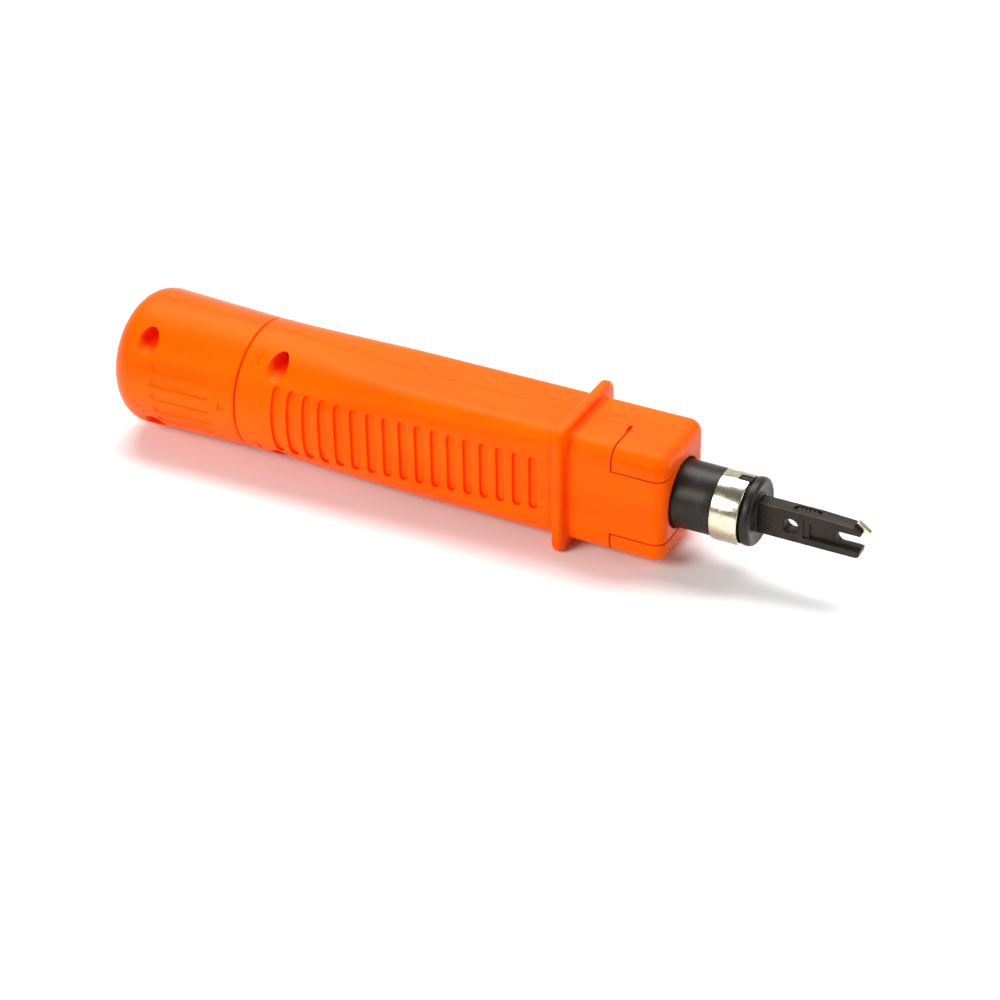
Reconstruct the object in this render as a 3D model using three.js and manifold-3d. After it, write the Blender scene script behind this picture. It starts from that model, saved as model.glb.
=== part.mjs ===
// Automatic impact punch-down tool for seating and trimming wires in connecting blocks.
// Every piece is drawn in the tool's own frame, in millimetres: +X along the axis towards the
// blade's tip, x = 0 at the front face of the hand guard, +Y to the right, +Z up. The last
// group lifts the tool so that its lowest point lies on z = 0 with the box centred over it.
import * as THREE from 'three';
import { ParametricGeometry } from 'three/addons/geometries/ParametricGeometry.js';
import { mergeVertices } from 'three/addons/utils/BufferGeometryUtils.js';
import Module from 'manifold-3d';

const wasm = await Module();
wasm.setup();

// Driving dimensions, overall
const DIAL_END_X = -113.6;
const CUTTER_TIP_X = 63.9;
const DIAL_MAX_R = 15.8;
const GAP = 0.3;
const MERGE = 1e-3;

// Housing: a rounded rectangle that widens towards the rear and turns round at the dial
const NOSE_X = 22.4;
const REAR_X = -79.6;
const NOSE_HALF_W = 10.7;
const NOSE_HALF_H = 13;
const NOSE_CORNER_R = 3.3;
const FRONT_EDGE_R = 2.8;
const WIDTH_TAPER = 0.04;
const HEIGHT_TAPER = 0.003;
const CORNER_TAPER = 0.067;
const MORPH_START_X = -40;
const MORPH_END_X = -79;
const REAR_R = 14.9;
const MIN_CORNER_R = 1;
const WALL = 2.1;
const CORNER_STEPS = 3;
// Shares of the front edge's arc at which the skin has a station, and the spacing elsewhere
const FRONT_EDGE_SHARES = [0, 0.35, 0.65, 0.87, 0.97, 1];
const SKIN_STEP = 4.2;
const ROOM_STEP = 7;

// Hand guard round the housing
const GUARD = { thick: 2.5, halfW: 13.2, halfH: 15.2, corner: 1.8 };

// Finger slots down each side
const SLOT = { count: 17, pitch: 3.857, firstX: -69.4, width: 1.95, depth: 0.7, halfH: 6.25, taper: 0.0285 };

// Tongue-and-notch joint of the two halves at the nose
const NOTCH = { x: 10.5, z: 8 };

// Bulkheads and bores inside the housing
const NOSE_WALL_X = 19.6;
const GUARD_WEB = [-0.5, 2];
const ROD_WEB = [-16, -14];
const REAR_WALL_X = -73.3;
const NECK = { endX: -86, r: 10, collarR: 11.5, collarX: -84 };

// Screws that draw the halves together, along Y
const SCREW = { headR: 2.1, headLen: 1.5, shankR: 1.2, headY: -1.2, tipY: 8, holeR: 2.4, bossR: 3.4 };
const HOUSING_SCREW = { x: -70.8, z: 11.1 };
const DIAL_SCREW = { x: -103.6, z: 10.5 };

// Dial: the turning rear cap that sets the blow
const DIAL_FRONT_X = -80;
const DIAL_WIDE_X = -107.5;
const DIAL_END_FLAT_R = 9;
const DIAL_WALL = 2.3;
const DIAL_WEB = [-90.5, -86.6];
const DIAL_GROOVE = { from: -101.5, to: -87.2, width: 2, depth: 0.5, steps: [-2, -1, 0, 1, 2], stepDeg: 13.2 };
const DIAL_TRACK = { innerR: 5.6, outerR: 9.4, depth: 0.8 };
const SQUARE_HALF = 3.8;

// Click of the dial: a ball pressed against the dial's track from a pocket in the neck
const DETENT = { y: -7.5, ballX: -85.6, ballR: 1.3, pocketR: 1.7, pocketX: -80.4 };
const DETENT_SPRING = { x: [-84.2, -80.6], r: 1.1, wire: 0.2, turns: 5 };

// Preload spindle, nut and thrust washer
const SPINDLE = { r: 3.6, threadR: 4, flangeR: 6, collarR: 7, collarX: [-72, -70.6], tipX: -63.4 };
const NUT = { x: [-69.5, -64.5], halfW: 10, halfH: 7 };
const THRUST_WASHER_X = [-73, -72.3];

// Plunger and what it carries
const PLUNGER = { rearX: 6, frontX: 37.7, r: 7.5, frontR: 7.35, seatR: 6.7, boreR: 5.6, collarR: 8.5 };
const PLUNGER_COLLAR_X = [17, 19.3];
const PLUNGER_WEB_X = [12, 15.6];
const RING = { x: [31.25, 37.45], r: 7.55, boreR: 7, notchX: 34.9, notchHalfW: 1.1, lugHalfW: 0.7 };
const ROD = { r: 3, headR: 5, headX: [15.9, 19.7], tipX: -27.2 };
const CROSS_PIN = { x: 13.8, r: 1, half: 6.3 };
const RETURN_SPRING = { r: 4.5, wire: 0.5, turns: 8 };
const ROTOR = { discX: [38, 40.2], discR: 7.6, rim: 1, barrelR: 5.3, rearX: 21.4 };
const SOCKET = { halfY: 1.95, halfZ: 4 };
const ROTOR_CLIP = { x: [20.2, 21], innerR: 4.3 };

// Hammer and latch
const HAMMER = { x: [-46, -22], r: 8.6, boreR: 3.4, boreEndX: -42, guideR: 3.6, guideX: -50 };
const LATCH = { x: [-29.7, -27.7], halfY: 4.5, z: [-4.7, 8.2], holeR: 3.4, holeZ: -1.5 };
const LATCH_POCKET_Z = -7.2;
const HAMMER_SPRING = { r: 5.6, wire: 0.6, turns: 6 };
const LATCH_SPRING = { r: 1, wire: 0.2, turns: 4, clearance: 0.1 };

// Blade
const BLADE = { rearX: 20.2, halfY: 1.72, top: 3.5, bottom: -3.8, chamfer: 0.6 };
const BLADE_SHOULDER_X = 53;
const BLADE_ARM = { x: 60.2, z: 2.9 };
const BLADE_HOLE = { x: 47.05, z: -0.35, r: 1.7 };
const BLADE_FORK = { bottomX: 58.5, z: 0.65, r: 1.15, tipX: 62.3, flare: 0.1 };
const BLADE_RECESS = { x: [47.1, 53.3], halfY: 1.15, depth: 0.7 };
const BLADE_POCKET = { x: [50.9, CUTTER_TIP_X], z: [-2.4, 2.3], depth: 0.6 };
const BLADE_DETENT = { x: [0, 27.8], halfZ: 0.9, depth: 0.5 };
const BLADE_BALL = { x: 27, y: -2.4, r: 0.9, pocketR: 1.2 };
const BLADE_BALL_SPRING = { y: [-4.4, -3.4], r: 0.7, wire: 0.15, turns: 3 };
const CUTTER_OUTLINE = [
  [60.5, 3.2], [62.9, 1.5], [63.7, 1.3], [CUTTER_TIP_X, 1.9], [61.2, 3.8],
];
const CUTTER_Y = [0, 1.2];

const ROUND = 24;
const SMALL_ROUND = 12;
const TINY_ROUND = 6;

// ---- Solids from geometries ----

function solid(geometry) {
  const bare = geometry.clone();
  bare.deleteAttribute('normal');
  bare.deleteAttribute('uv');
  const merged = mergeVertices(bare, MERGE);
  const corners = merged.index.array;
  const triangles = [];
  for (let i = 0; i < corners.length; i += 3) {
    const [a, b, c] = corners.slice(i, i + 3);
    if (a !== b && b !== c && c !== a) triangles.push(a, b, c);
  }
  const vertProperties = new Float32Array(merged.attributes.position.array);
  const triVerts = new Uint32Array(triangles);
  return new wasm.Manifold(new wasm.Mesh({ numProp: 3, vertProperties, triVerts }));
}

function geometryOf(body) {
  const mesh = body.getMesh();
  const geometry = new THREE.BufferGeometry();
  geometry.setAttribute('position', new THREE.BufferAttribute(mesh.vertProperties, 3));
  geometry.setIndex(new THREE.BufferAttribute(mesh.triVerts, 1));
  geometry.computeVertexNormals();
  return geometry;
}

function joined(bodies) {
  return bodies.reduce((sum, body) => sum.add(body));
}

function box([x0, x1], [y0, y1], [z0, z1]) {
  const geometry = new THREE.BoxGeometry(x1 - x0, y1 - y0, z1 - z0);
  geometry.translate((x0 + x1) / 2, (y0 + y1) / 2, (z0 + z1) / 2);
  return solid(geometry);
}

// A turned piece about the X axis. The profile lists [x, r] from the rear end to the front
// end; both ends close on the axis.
function turned(profile, sides = ROUND) {
  const [firstX] = profile[0];
  const [lastX] = profile[profile.length - 1];
  const points = [[firstX, 0], ...profile, [lastX, 0]].map(([x, r]) => new THREE.Vector2(r, x));
  const geometry = new THREE.LatheGeometry(points, sides);
  geometry.rotateZ(-Math.PI / 2);
  return solid(geometry);
}

function cylinder([x0, x1], r, sides = ROUND) {
  return turned([[x0, r], [x1, r]], sides);
}

function crossBar(x, z, r, y0, y1, sides = SMALL_ROUND) {
  const geometry = new THREE.CylinderGeometry(r, r, y1 - y0, sides);
  geometry.translate(x, (y0 + y1) / 2, z);
  return solid(geometry);
}

// A flat outline in the XZ plane made a plate from y0 to y1
function plate(outline, y0, y1, curveSegments = 6) {
  const geometry = new THREE.ExtrudeGeometry(outline, { depth: y1 - y0, bevelEnabled: false, curveSegments });
  geometry.rotateX(Math.PI / 2);
  geometry.translate(0, y1, 0);
  return solid(geometry);
}

function outlineOf(points) {
  return new THREE.Shape(points.map(([x, z]) => new THREE.Vector2(x, z)));
}

class Helix extends THREE.Curve {
  constructor(x0, x1, radius, turns) {
    super();
    this.x0 = x0;
    this.x1 = x1;
    this.radius = radius;
    this.turns = turns;
  }

  getPoint(t, target = new THREE.Vector3()) {
    const angle = t * this.turns * 2 * Math.PI;
    const x = this.x0 + (this.x1 - this.x0) * t;
    return target.set(x, this.radius * Math.cos(angle), this.radius * Math.sin(angle));
  }
}

function coil([x0, x1], { r, wire, turns }, stepsPerTurn = 10, sides = TINY_ROUND) {
  const section = new THREE.Shape();
  section.absarc(0, 0, wire, 0, 2 * Math.PI);
  const extrudePath = new Helix(x0 + wire, x1 - wire, r, turns);
  const steps = turns * stepsPerTurn;
  return solid(new THREE.ExtrudeGeometry(section, { steps, extrudePath, curveSegments: sides / 2 }));
}

// ---- Housing ----

function smooth(t) {
  const s = Math.min(Math.max(t, 0), 1);
  return s * s * (3 - 2 * s);
}

function edgeDrop(x) {
  const sine = THREE.MathUtils.clamp((x - NOSE_X + FRONT_EDGE_R) / FRONT_EDGE_R, 0, 1);
  return FRONT_EDGE_R * (1 - Math.sqrt(1 - sine ** 2));
}

function section(x, inset) {
  const back = Math.max(0, -x);
  const morph = smooth((x - MORPH_START_X) / (MORPH_END_X - MORPH_START_X));
  const drop = inset > 0 ? 0 : edgeDrop(x);
  const halfW = THREE.MathUtils.lerp(NOSE_HALF_W + WIDTH_TAPER * back, REAR_R, morph) - inset - drop;
  const halfH = THREE.MathUtils.lerp(NOSE_HALF_H + HEIGHT_TAPER * back, REAR_R, morph) - inset - drop;
  const corner = THREE.MathUtils.lerp(NOSE_CORNER_R + CORNER_TAPER * back, REAR_R, morph) - inset;
  const limit = Math.min(halfW, halfH) - GAP / 2;
  return { halfW, halfH, corner: Math.min(Math.max(corner, MIN_CORNER_R), limit) };
}

// A closed solid through rounded rectangles, one at each station along X
function loft(stations, shapeAt) {
  const perCorner = CORNER_STEPS + 1;
  const slices = 4 * perCorner;
  const stacks = stations.length + 1;
  const place = (u, v, target) => {
    const row = Math.round(v * stacks);
    const x = stations[Math.min(Math.max(row - 1, 0), stations.length - 1)];
    if (row === 0 || row === stacks) {
      target.set(x, 0, 0);
      return;
    }
    const index = Math.round(u * slices) % slices;
    const quarter = Math.floor(index / perCorner);
    const angle = (quarter + (index % perCorner) / CORNER_STEPS) * (Math.PI / 2);
    const { halfW, halfH, corner } = shapeAt(x);
    const sideY = quarter === 0 || quarter === 3 ? 1 : -1;
    const sideZ = quarter < 2 ? 1 : -1;
    const y = sideY * (halfW - corner) + corner * Math.cos(angle);
    const z = sideZ * (halfH - corner) + corner * Math.sin(angle);
    target.set(x, y, z);
  };
  return solid(new ParametricGeometry(place, slices, stacks));
}

function stationsBetween(from, to, step) {
  const count = Math.max(1, Math.ceil(Math.abs(to - from) / step));
  return Array.from({ length: count + 1 }, (_, i) => from + ((to - from) * i) / count);
}

function housingOutside() {
  const body = stationsBetween(REAR_X, MORPH_START_X, SKIN_STEP);
  const arc = FRONT_EDGE_SHARES.map((t) => NOSE_X - FRONT_EDGE_R * (1 - t));
  const skin = loft([...body, 0, ...arc], (x) => section(x, 0));
  const guard = loft([-GUARD.thick, 0], () => GUARD);
  return skin.add(guard);
}

function housingCavities() {
  const hollow = (from, to) => loft(stationsBetween(from, to, ROOM_STEP), (x) => section(x, WALL));
  const noseRoom = hollow(GUARD_WEB[1], NOSE_WALL_X);
  const springRoom = hollow(ROD_WEB[1], GUARD_WEB[0]);
  const hammerRoom = hollow(REAR_WALL_X, ROD_WEB[0]);
  const plungerBore = cylinder([GUARD_WEB[0] - 1, NOSE_X + 1], PLUNGER.r + GAP);
  const rodBore = cylinder([ROD_WEB[0] - 1, ROD_WEB[1] + 1], ROD.r + GAP, SMALL_ROUND);
  const spindleBore = cylinder([NECK.endX - 1, REAR_WALL_X + 1], SPINDLE.r + GAP, SMALL_ROUND);
  return [noseRoom, springRoom, hammerRoom, plungerBore, rodBore, spindleBore];
}

function obround(length, width) {
  const r = width / 2;
  const reach = length / 2 - r;
  const outline = new THREE.Shape();
  outline.absarc(0, reach, r, 0, Math.PI);
  outline.absarc(0, -reach, r, Math.PI, 2 * Math.PI);
  outline.closePath();
  return outline;
}

function fingerSlots() {
  const floor = loft(stationsBetween(REAR_X, 0, SKIN_STEP), (x) => section(x, SLOT.depth));
  const cutters = Array.from({ length: SLOT.count }, (_, i) => {
    const x = SLOT.firstX + i * SLOT.pitch;
    const halfH = SLOT.halfH - SLOT.taper * x;
    const cutter = plate(obround(2 * halfH, SLOT.width), -DIAL_MAX_R, DIAL_MAX_R, 3);
    return cutter.translate([x, 0, 0]);
  });
  return joined(cutters).subtract(floor);
}

function neck() {
  const { endX, r, collarR, collarX } = NECK;
  return turned([[endX, collarR], [collarX, collarR], [collarX, r], [REAR_X + 1, r]]);
}

function screwBosses({ x, z }, y0, y1) {
  return [z, -z].map((height) => crossBar(x, height, SCREW.bossR, y0, y1));
}

// The hole a screw goes down from the left, and its pilot in the right half
function screwHoles({ x, z }) {
  const { headLen, holeR, headY, shankR, tipY } = SCREW;
  const access = [z, -z].map((height) => crossBar(x, height, holeR, -DIAL_MAX_R, headY + GAP));
  const pilot = [z, -z].map((height) => crossBar(x, height, shankR + GAP, headY - headLen, tipY + GAP));
  return joined([...access, ...pilot]);
}

// The corner blocks above and below the notch belong to the right half
function cornerBlocks(clearance) {
  const span = [NOTCH.x - clearance, NOSE_X + 1];
  const sideways = [-DIAL_MAX_R, 1];
  const upper = box(span, sideways, [NOTCH.z - clearance, DIAL_MAX_R + 1]);
  const lower = box(span, sideways, [-DIAL_MAX_R - 1, -NOTCH.z + clearance]);
  return upper.add(lower);
}

function sideOf(sign) {
  const limits = [sign * (GAP / 2), sign * (DIAL_MAX_R + 2)].sort((a, b) => a - b);
  const span = [DIAL_END_X - 1, NOSE_X + 2];
  return box(span, limits, [-DIAL_MAX_R - 2, DIAL_MAX_R + 2]);
}

function housingHalves() {
  const bosses = joined(screwBosses(HOUSING_SCREW, -DIAL_MAX_R, DIAL_MAX_R));
  const shell = housingCavities().reduce((body, room) => body.subtract(room), housingOutside().add(neck()));
  const pocketX = [NECK.endX - 1, DETENT.pocketX];
  const detentPocket = cylinder(pocketX, DETENT.pocketR, SMALL_ROUND).translate([0, DETENT.y, 0]);
  const whole = shell
    .add(bosses.intersect(housingOutside()))
    .subtract(screwHoles(HOUSING_SCREW))
    .subtract(fingerSlots())
    .subtract(detentPocket);
  const left = whole.intersect(sideOf(-1)).subtract(cornerBlocks(GAP));
  const right = whole.intersect(sideOf(1).add(cornerBlocks(0)));
  return { left, right };
}

function screw({ x }, z) {
  const { headR, headLen, shankR, headY, tipY } = SCREW;
  const head = crossBar(x, z, headR, headY - headLen, headY);
  return head.add(crossBar(x, z, shankR, headY - GAP, tipY, 10));
}

// ---- Dial ----

function dialProfile(inset) {
  const axial = DIAL_WIDE_X - DIAL_END_X - inset;
  const radial = DIAL_MAX_R - DIAL_END_FLAT_R - inset / 2;
  const arc = [0, 18, 36, 54, 72, 90].map((deg) => {
    const turn = THREE.MathUtils.degToRad(deg);
    const x = DIAL_WIDE_X - axial * Math.cos(turn);
    return [x, DIAL_MAX_R - inset - radial * (1 - Math.sin(turn))];
  });
  return [...arc, [DIAL_FRONT_X, REAR_R - inset]];
}

function dialGrooves() {
  const { from, to, width, depth, steps, stepDeg } = DIAL_GROOVE;
  const reach = REAR_R - 3;
  const cutters = [-1, 1].flatMap((side) => steps.map((step) => {
    const bar = plate(obround(to - from, width), reach, DIAL_MAX_R + 2, 3);
    const lying = bar.rotate([0, 90, 0]).translate([(from + to) / 2, 0, 0]);
    return lying.rotate([step * stepDeg + (side < 0 ? 180 : 0), 0, 0]);
  }));
  const floor = turned([[from - 2, DIAL_MAX_R - depth - 0.2], [DIAL_FRONT_X, REAR_R - depth]]);
  return joined(cutters).subtract(floor);
}

function dialHalves() {
  const outside = turned(dialProfile(0), 32);
  const room = turned(dialProfile(DIAL_WALL)).intersect(cylinder([DIAL_END_X, DIAL_WEB[0]], DIAL_MAX_R));
  const neckLip = cylinder([NECK.collarX - 1, DIAL_FRONT_X + 1], NECK.r + GAP);
  const collarRoom = cylinder([DIAL_WEB[1], NECK.collarX + GAP], NECK.collarR + GAP);
  const { innerR, outerR, depth } = DIAL_TRACK;
  const trackDisc = cylinder([DIAL_WEB[1] - depth, DIAL_WEB[1] + 1], outerR);
  const track = trackDisc.subtract(cylinder([DIAL_WEB[0], 0], innerR));
  const reach = SQUARE_HALF + GAP;
  const square = box([DIAL_WEB[0] - 1, DIAL_WEB[1] + 1], [-reach, reach], [-reach, reach]);
  const bosses = joined(screwBosses(DIAL_SCREW, -DIAL_MAX_R, DIAL_MAX_R)).intersect(outside);
  const whole = [neckLip, collarRoom, track, square, screwHoles(DIAL_SCREW), dialGrooves()]
    .reduce((body, cut) => body.subtract(cut), outside.subtract(room).add(bosses));
  return { left: whole.intersect(sideOf(-1)), right: whole.intersect(sideOf(1)) };
}

function preloadSpindle() {
  const { r, threadR, flangeR, collarR, collarX, tipX } = SPINDLE;
  const head = box([DIAL_WEB[0] - 0.5, DIAL_WEB[1]], [-SQUARE_HALF, SQUARE_HALF], [-SQUARE_HALF, SQUARE_HALF]);
  const shaft = turned([
    [DIAL_WEB[0] - 2, flangeR], [DIAL_WEB[0] - GAP, flangeR], [DIAL_WEB[0] - GAP, r], [collarX[0], r],
    [collarX[0], collarR], [collarX[1], collarR], [collarX[1], threadR], [tipX, threadR],
  ], 24);
  return head.add(shaft);
}

function preloadNut() {
  const block = box(NUT.x, [-NUT.halfW, NUT.halfW], [-NUT.halfH, NUT.halfH]);
  return block.subtract(cylinder([NUT.x[0] - 1, NUT.x[1] + 1], SPINDLE.threadR + GAP, 24));
}

function washer([x0, x1], outerR, innerR) {
  return cylinder([x0, x1], outerR, 24).subtract(cylinder([x0 - 1, x1 + 1], innerR, 24));
}

function ball(x, y, z, r) {
  const geometry = new THREE.SphereGeometry(r, 12, 8);
  geometry.translate(x, y, z);
  return solid(geometry);
}

// ---- Hammer and latch ----

function hammer() {
  const { x, r, boreR, boreEndX, guideR, guideX } = HAMMER;
  const body = turned([[guideX, guideR], [x[0], guideR], [x[0], r - 0.8], [x[0] + 0.8, r], [x[1], r]]);
  const bore = cylinder([boreEndX, x[1] + 1], boreR, 24);
  const reach = LATCH.halfY + GAP;
  const pocket = box([LATCH.x[0] - GAP, LATCH.x[1] + GAP], [-reach, reach], [LATCH_POCKET_Z, r + 1]);
  return body.subtract(bore).subtract(pocket);
}

function latchPlate() {
  const { x, halfY, z, holeR, holeZ } = LATCH;
  const hole = cylinder([x[0] - 1, x[1] + 1], holeR, 24).translate([0, 0, holeZ]);
  return box(x, [-halfY, halfY], z).subtract(hole);
}

function latchSpring() {
  const height = LATCH.z[0] - LATCH_POCKET_Z;
  const upright = coil([0, height - 2 * LATCH_SPRING.clearance], LATCH_SPRING, 6, 4).rotate([0, -90, 0]);
  const middleX = (LATCH.x[0] + LATCH.x[1]) / 2;
  return upright.translate([middleX, 0, LATCH_POCKET_Z + LATCH_SPRING.clearance]);
}

// ---- Plunger ----

function plungerTube() {
  const { rearX, frontX, r, frontR, seatR, boreR, collarR } = PLUNGER;
  const outside = turned([
    [rearX, r], [PLUNGER_COLLAR_X[0], r], [PLUNGER_COLLAR_X[0], collarR], [PLUNGER_COLLAR_X[1], collarR],
    [PLUNGER_COLLAR_X[1], r], [RING.x[0] - GAP, frontR], [RING.x[0] - GAP, seatR], [frontX, seatR],
  ]);
  const lug = box([RING.notchX + GAP, frontX], [-RING.lugHalfW, RING.lugHalfW], [seatR - 0.5, RING.r - 0.1]);
  const frontBore = cylinder([PLUNGER_WEB_X[1], frontX + 1], boreR);
  const rearBore = cylinder([rearX - 1, PLUNGER_WEB_X[0]], boreR);
  const rodBore = cylinder([rearX, frontX], ROD.r + GAP, SMALL_ROUND);
  const pinBore = crossBar(CROSS_PIN.x, 0, CROSS_PIN.r + GAP, -CROSS_PIN.half - 2, CROSS_PIN.half + 2);
  return [frontBore, rearBore, rodBore, pinBore].reduce((body, cut) => body.subtract(cut), outside.add(lug));
}

function strikerRod() {
  const { r, headR, headX, tipX } = ROD;
  const tip = [[tipX, r - 0.5], [tipX + 0.5, r]];
  const body = turned([...tip, [headX[0], r], [headX[0], headR], [headX[1], headR]], 24);
  return body.subtract(crossBar(CROSS_PIN.x, 0, CROSS_PIN.r + GAP, -ROD.r - 1, ROD.r + 1));
}

function collarRing() {
  const ring = washer(RING.x, RING.r, RING.boreR);
  const { notchX, notchHalfW, r } = RING;
  return ring.subtract(box([notchX, RING.x[1] + 1], [-notchHalfW, notchHalfW], [0, r + 1]));
}

function lockRotor() {
  const { discX, discR, rim, barrelR, rearX } = ROTOR;
  const body = turned([
    [rearX, barrelR], [discX[0], barrelR],
    [discX[0], discR - rim * 0.4], [discX[0] + rim * 0.4, discR],
    [discX[1] - rim, discR], [discX[1] - rim * 0.3, discR - rim * 0.3], [discX[1], discR - rim],
  ]);
  const { halfY, halfZ } = SOCKET;
  const socket = box([rearX - 1, discX[1] + 1], [-halfY, halfY], [-halfZ, halfZ]);
  const ballPocket = crossBar(BLADE_BALL.x, 0, BLADE_BALL.pocketR, -barrelR + 0.8, 0);
  return body.subtract(socket).subtract(ballPocket);
}

function bladeBallSpring() {
  const lying = coil(BLADE_BALL_SPRING.y, BLADE_BALL_SPRING, 6, 4);
  return lying.rotate([0, 0, 90]).translate([BLADE_BALL.x, 0, 0]);
}

// ---- Blade ----

function bladeOutline() {
  const { rearX, top, bottom, chamfer } = BLADE;
  const { bottomX, z, r, tipX, flare } = BLADE_FORK;
  const outline = new THREE.Shape();
  outline.moveTo(rearX, bottom + chamfer / 2);
  outline.lineTo(rearX + chamfer, bottom);
  outline.lineTo(tipX - chamfer, bottom);
  outline.lineTo(tipX, z - r - flare);
  outline.lineTo(bottomX + r, z - r);
  outline.absarc(bottomX + r, z, r, -Math.PI / 2, Math.PI / 2, true);
  outline.lineTo(tipX - chamfer / 2, z + r + flare);
  outline.lineTo(BLADE_ARM.x, BLADE_ARM.z);
  outline.lineTo(BLADE_SHOULDER_X, top);
  outline.lineTo(rearX + chamfer, top);
  outline.lineTo(rearX, top - chamfer / 2);
  return outline;
}

function bladeBody() {
  const { halfY, top } = BLADE;
  const hole = new THREE.Path();
  hole.absarc(BLADE_HOLE.x, BLADE_HOLE.z, BLADE_HOLE.r, 0, 2 * Math.PI, true);
  const outline = bladeOutline();
  outline.holes.push(hole);
  const body = plate(outline, -halfY, halfY, 8);
  const recessY = [-BLADE_RECESS.halfY, BLADE_RECESS.halfY];
  const recess = box(BLADE_RECESS.x, recessY, [top - BLADE_RECESS.depth, top + 1]);
  const sidePockets = [-1, 1].map((side) => {
    const limits = [side * (halfY - BLADE_POCKET.depth), side * (halfY + 1)].sort((a, b) => a - b);
    return box(BLADE_POCKET.x, limits, BLADE_POCKET.z);
  });
  const { x, halfZ, depth } = BLADE_DETENT;
  const detentGroove = box(x, [-halfY - 1, -halfY + depth], [-halfZ, halfZ]);
  return [recess, detentGroove, ...sidePockets].reduce((blade, cut) => blade.subtract(cut), body);
}

function cutter() {
  return plate(outlineOf(CUTTER_OUTLINE), ...CUTTER_Y);
}

// ---- Assembly ----

function finish(color, roughness, metalness = 0) {
  return () => new THREE.MeshStandardMaterial({ color, roughness, metalness });
}

const orangePlastic = finish(0xff6a00, 0.42);
const blackPlastic = finish(0x2c2c2b, 0.45);
const steel = finish(0x9a9c9e, 0.35, 1);
const springSteel = finish(0x7d7f80, 0.4, 1);
const nickel = finish(0xd8ceb8, 0.2, 1);
const blackOxide = finish(0x352b26, 0.5, 0.6);
const toolSteel = finish(0xe0dbc8, 0.25, 1);

const tool = new THREE.Group();

function addPiece(name, body, material) {
  const mesh = new THREE.Mesh(geometryOf(body), material());
  mesh.name = name;
  tool.add(mesh);
}

const housing = housingHalves();
addPiece('housing_left', housing.left, orangePlastic);
addPiece('housing_right', housing.right, orangePlastic);
addPiece('housing_screw_upper', screw(HOUSING_SCREW, HOUSING_SCREW.z), steel);
addPiece('housing_screw_lower', screw(HOUSING_SCREW, -HOUSING_SCREW.z), steel);

const dial = dialHalves();
addPiece('dial_left', dial.left, orangePlastic);
addPiece('dial_right', dial.right, orangePlastic);
addPiece('dial_screw_upper', screw(DIAL_SCREW, DIAL_SCREW.z), steel);
addPiece('dial_screw_lower', screw(DIAL_SCREW, -DIAL_SCREW.z), steel);
addPiece('dial_detent_ball', ball(DETENT.ballX, DETENT.y, 0, DETENT.ballR), steel);
const detentSpring = coil(DETENT_SPRING.x, DETENT_SPRING, 6, 4).translate([0, DETENT.y, 0]);
addPiece('dial_detent_spring', detentSpring, springSteel);
addPiece('preload_spindle', preloadSpindle(), steel);
addPiece('preload_nut', preloadNut(), blackPlastic);
addPiece('thrust_washer', washer(THRUST_WASHER_X, SPINDLE.collarR, SPINDLE.r + GAP), steel);

addPiece('hammer_spring', coil([NUT.x[1] + GAP, HAMMER.x[0] - GAP], HAMMER_SPRING), springSteel);
addPiece('hammer', hammer(), steel);
addPiece('latch_plate', latchPlate(), steel);
addPiece('latch_spring', latchSpring(), springSteel);

addPiece('plunger_tube', plungerTube(), blackPlastic);
addPiece('striker_rod', strikerRod(), steel);
addPiece('striker_cross_pin', crossBar(CROSS_PIN.x, 0, CROSS_PIN.r, -CROSS_PIN.half, CROSS_PIN.half), steel);
addPiece('return_spring', coil([ROD_WEB[1] + GAP, PLUNGER_WEB_X[0] - GAP], RETURN_SPRING), springSteel);
addPiece('collar_ring', collarRing(), nickel);
addPiece('lock_rotor', lockRotor(), blackPlastic);
addPiece('rotor_clip', washer(ROTOR_CLIP.x, PLUNGER.boreR - GAP, ROTOR_CLIP.innerR), springSteel);
addPiece('blade_ball', ball(BLADE_BALL.x, BLADE_BALL.y, 0, BLADE_BALL.r), steel);
addPiece('blade_ball_spring', bladeBallSpring(), springSteel);
addPiece('blade_body', bladeBody(), blackOxide);
addPiece('blade_cutter', cutter(), toolSteel);

tool.position.set(-(DIAL_END_X + CUTTER_TIP_X) / 2, 0, DIAL_MAX_R);

const part = new THREE.Group();
part.add(tool);

export default part;
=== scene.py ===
"""Automatic impact punch-down tool on a white studio floor.

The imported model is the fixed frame. Each sub-assembly below rebuilds its visible pieces as fine
meshes in the tool's own frame: millimetres, +X along the axis towards the blade's tip, x = 0 at
the front face of the hand guard, +Y to the right, +Z up. A finished piece is scaled to metres
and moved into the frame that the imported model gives.
"""

import logging
import math
from dataclasses import dataclass, field
from enum import Enum
from typing import Callable, Iterable, Sequence

import bmesh
import bpy
from bmesh.types import BMEdge, BMesh, BMVert
from mathutils import Matrix, Vector


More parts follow.
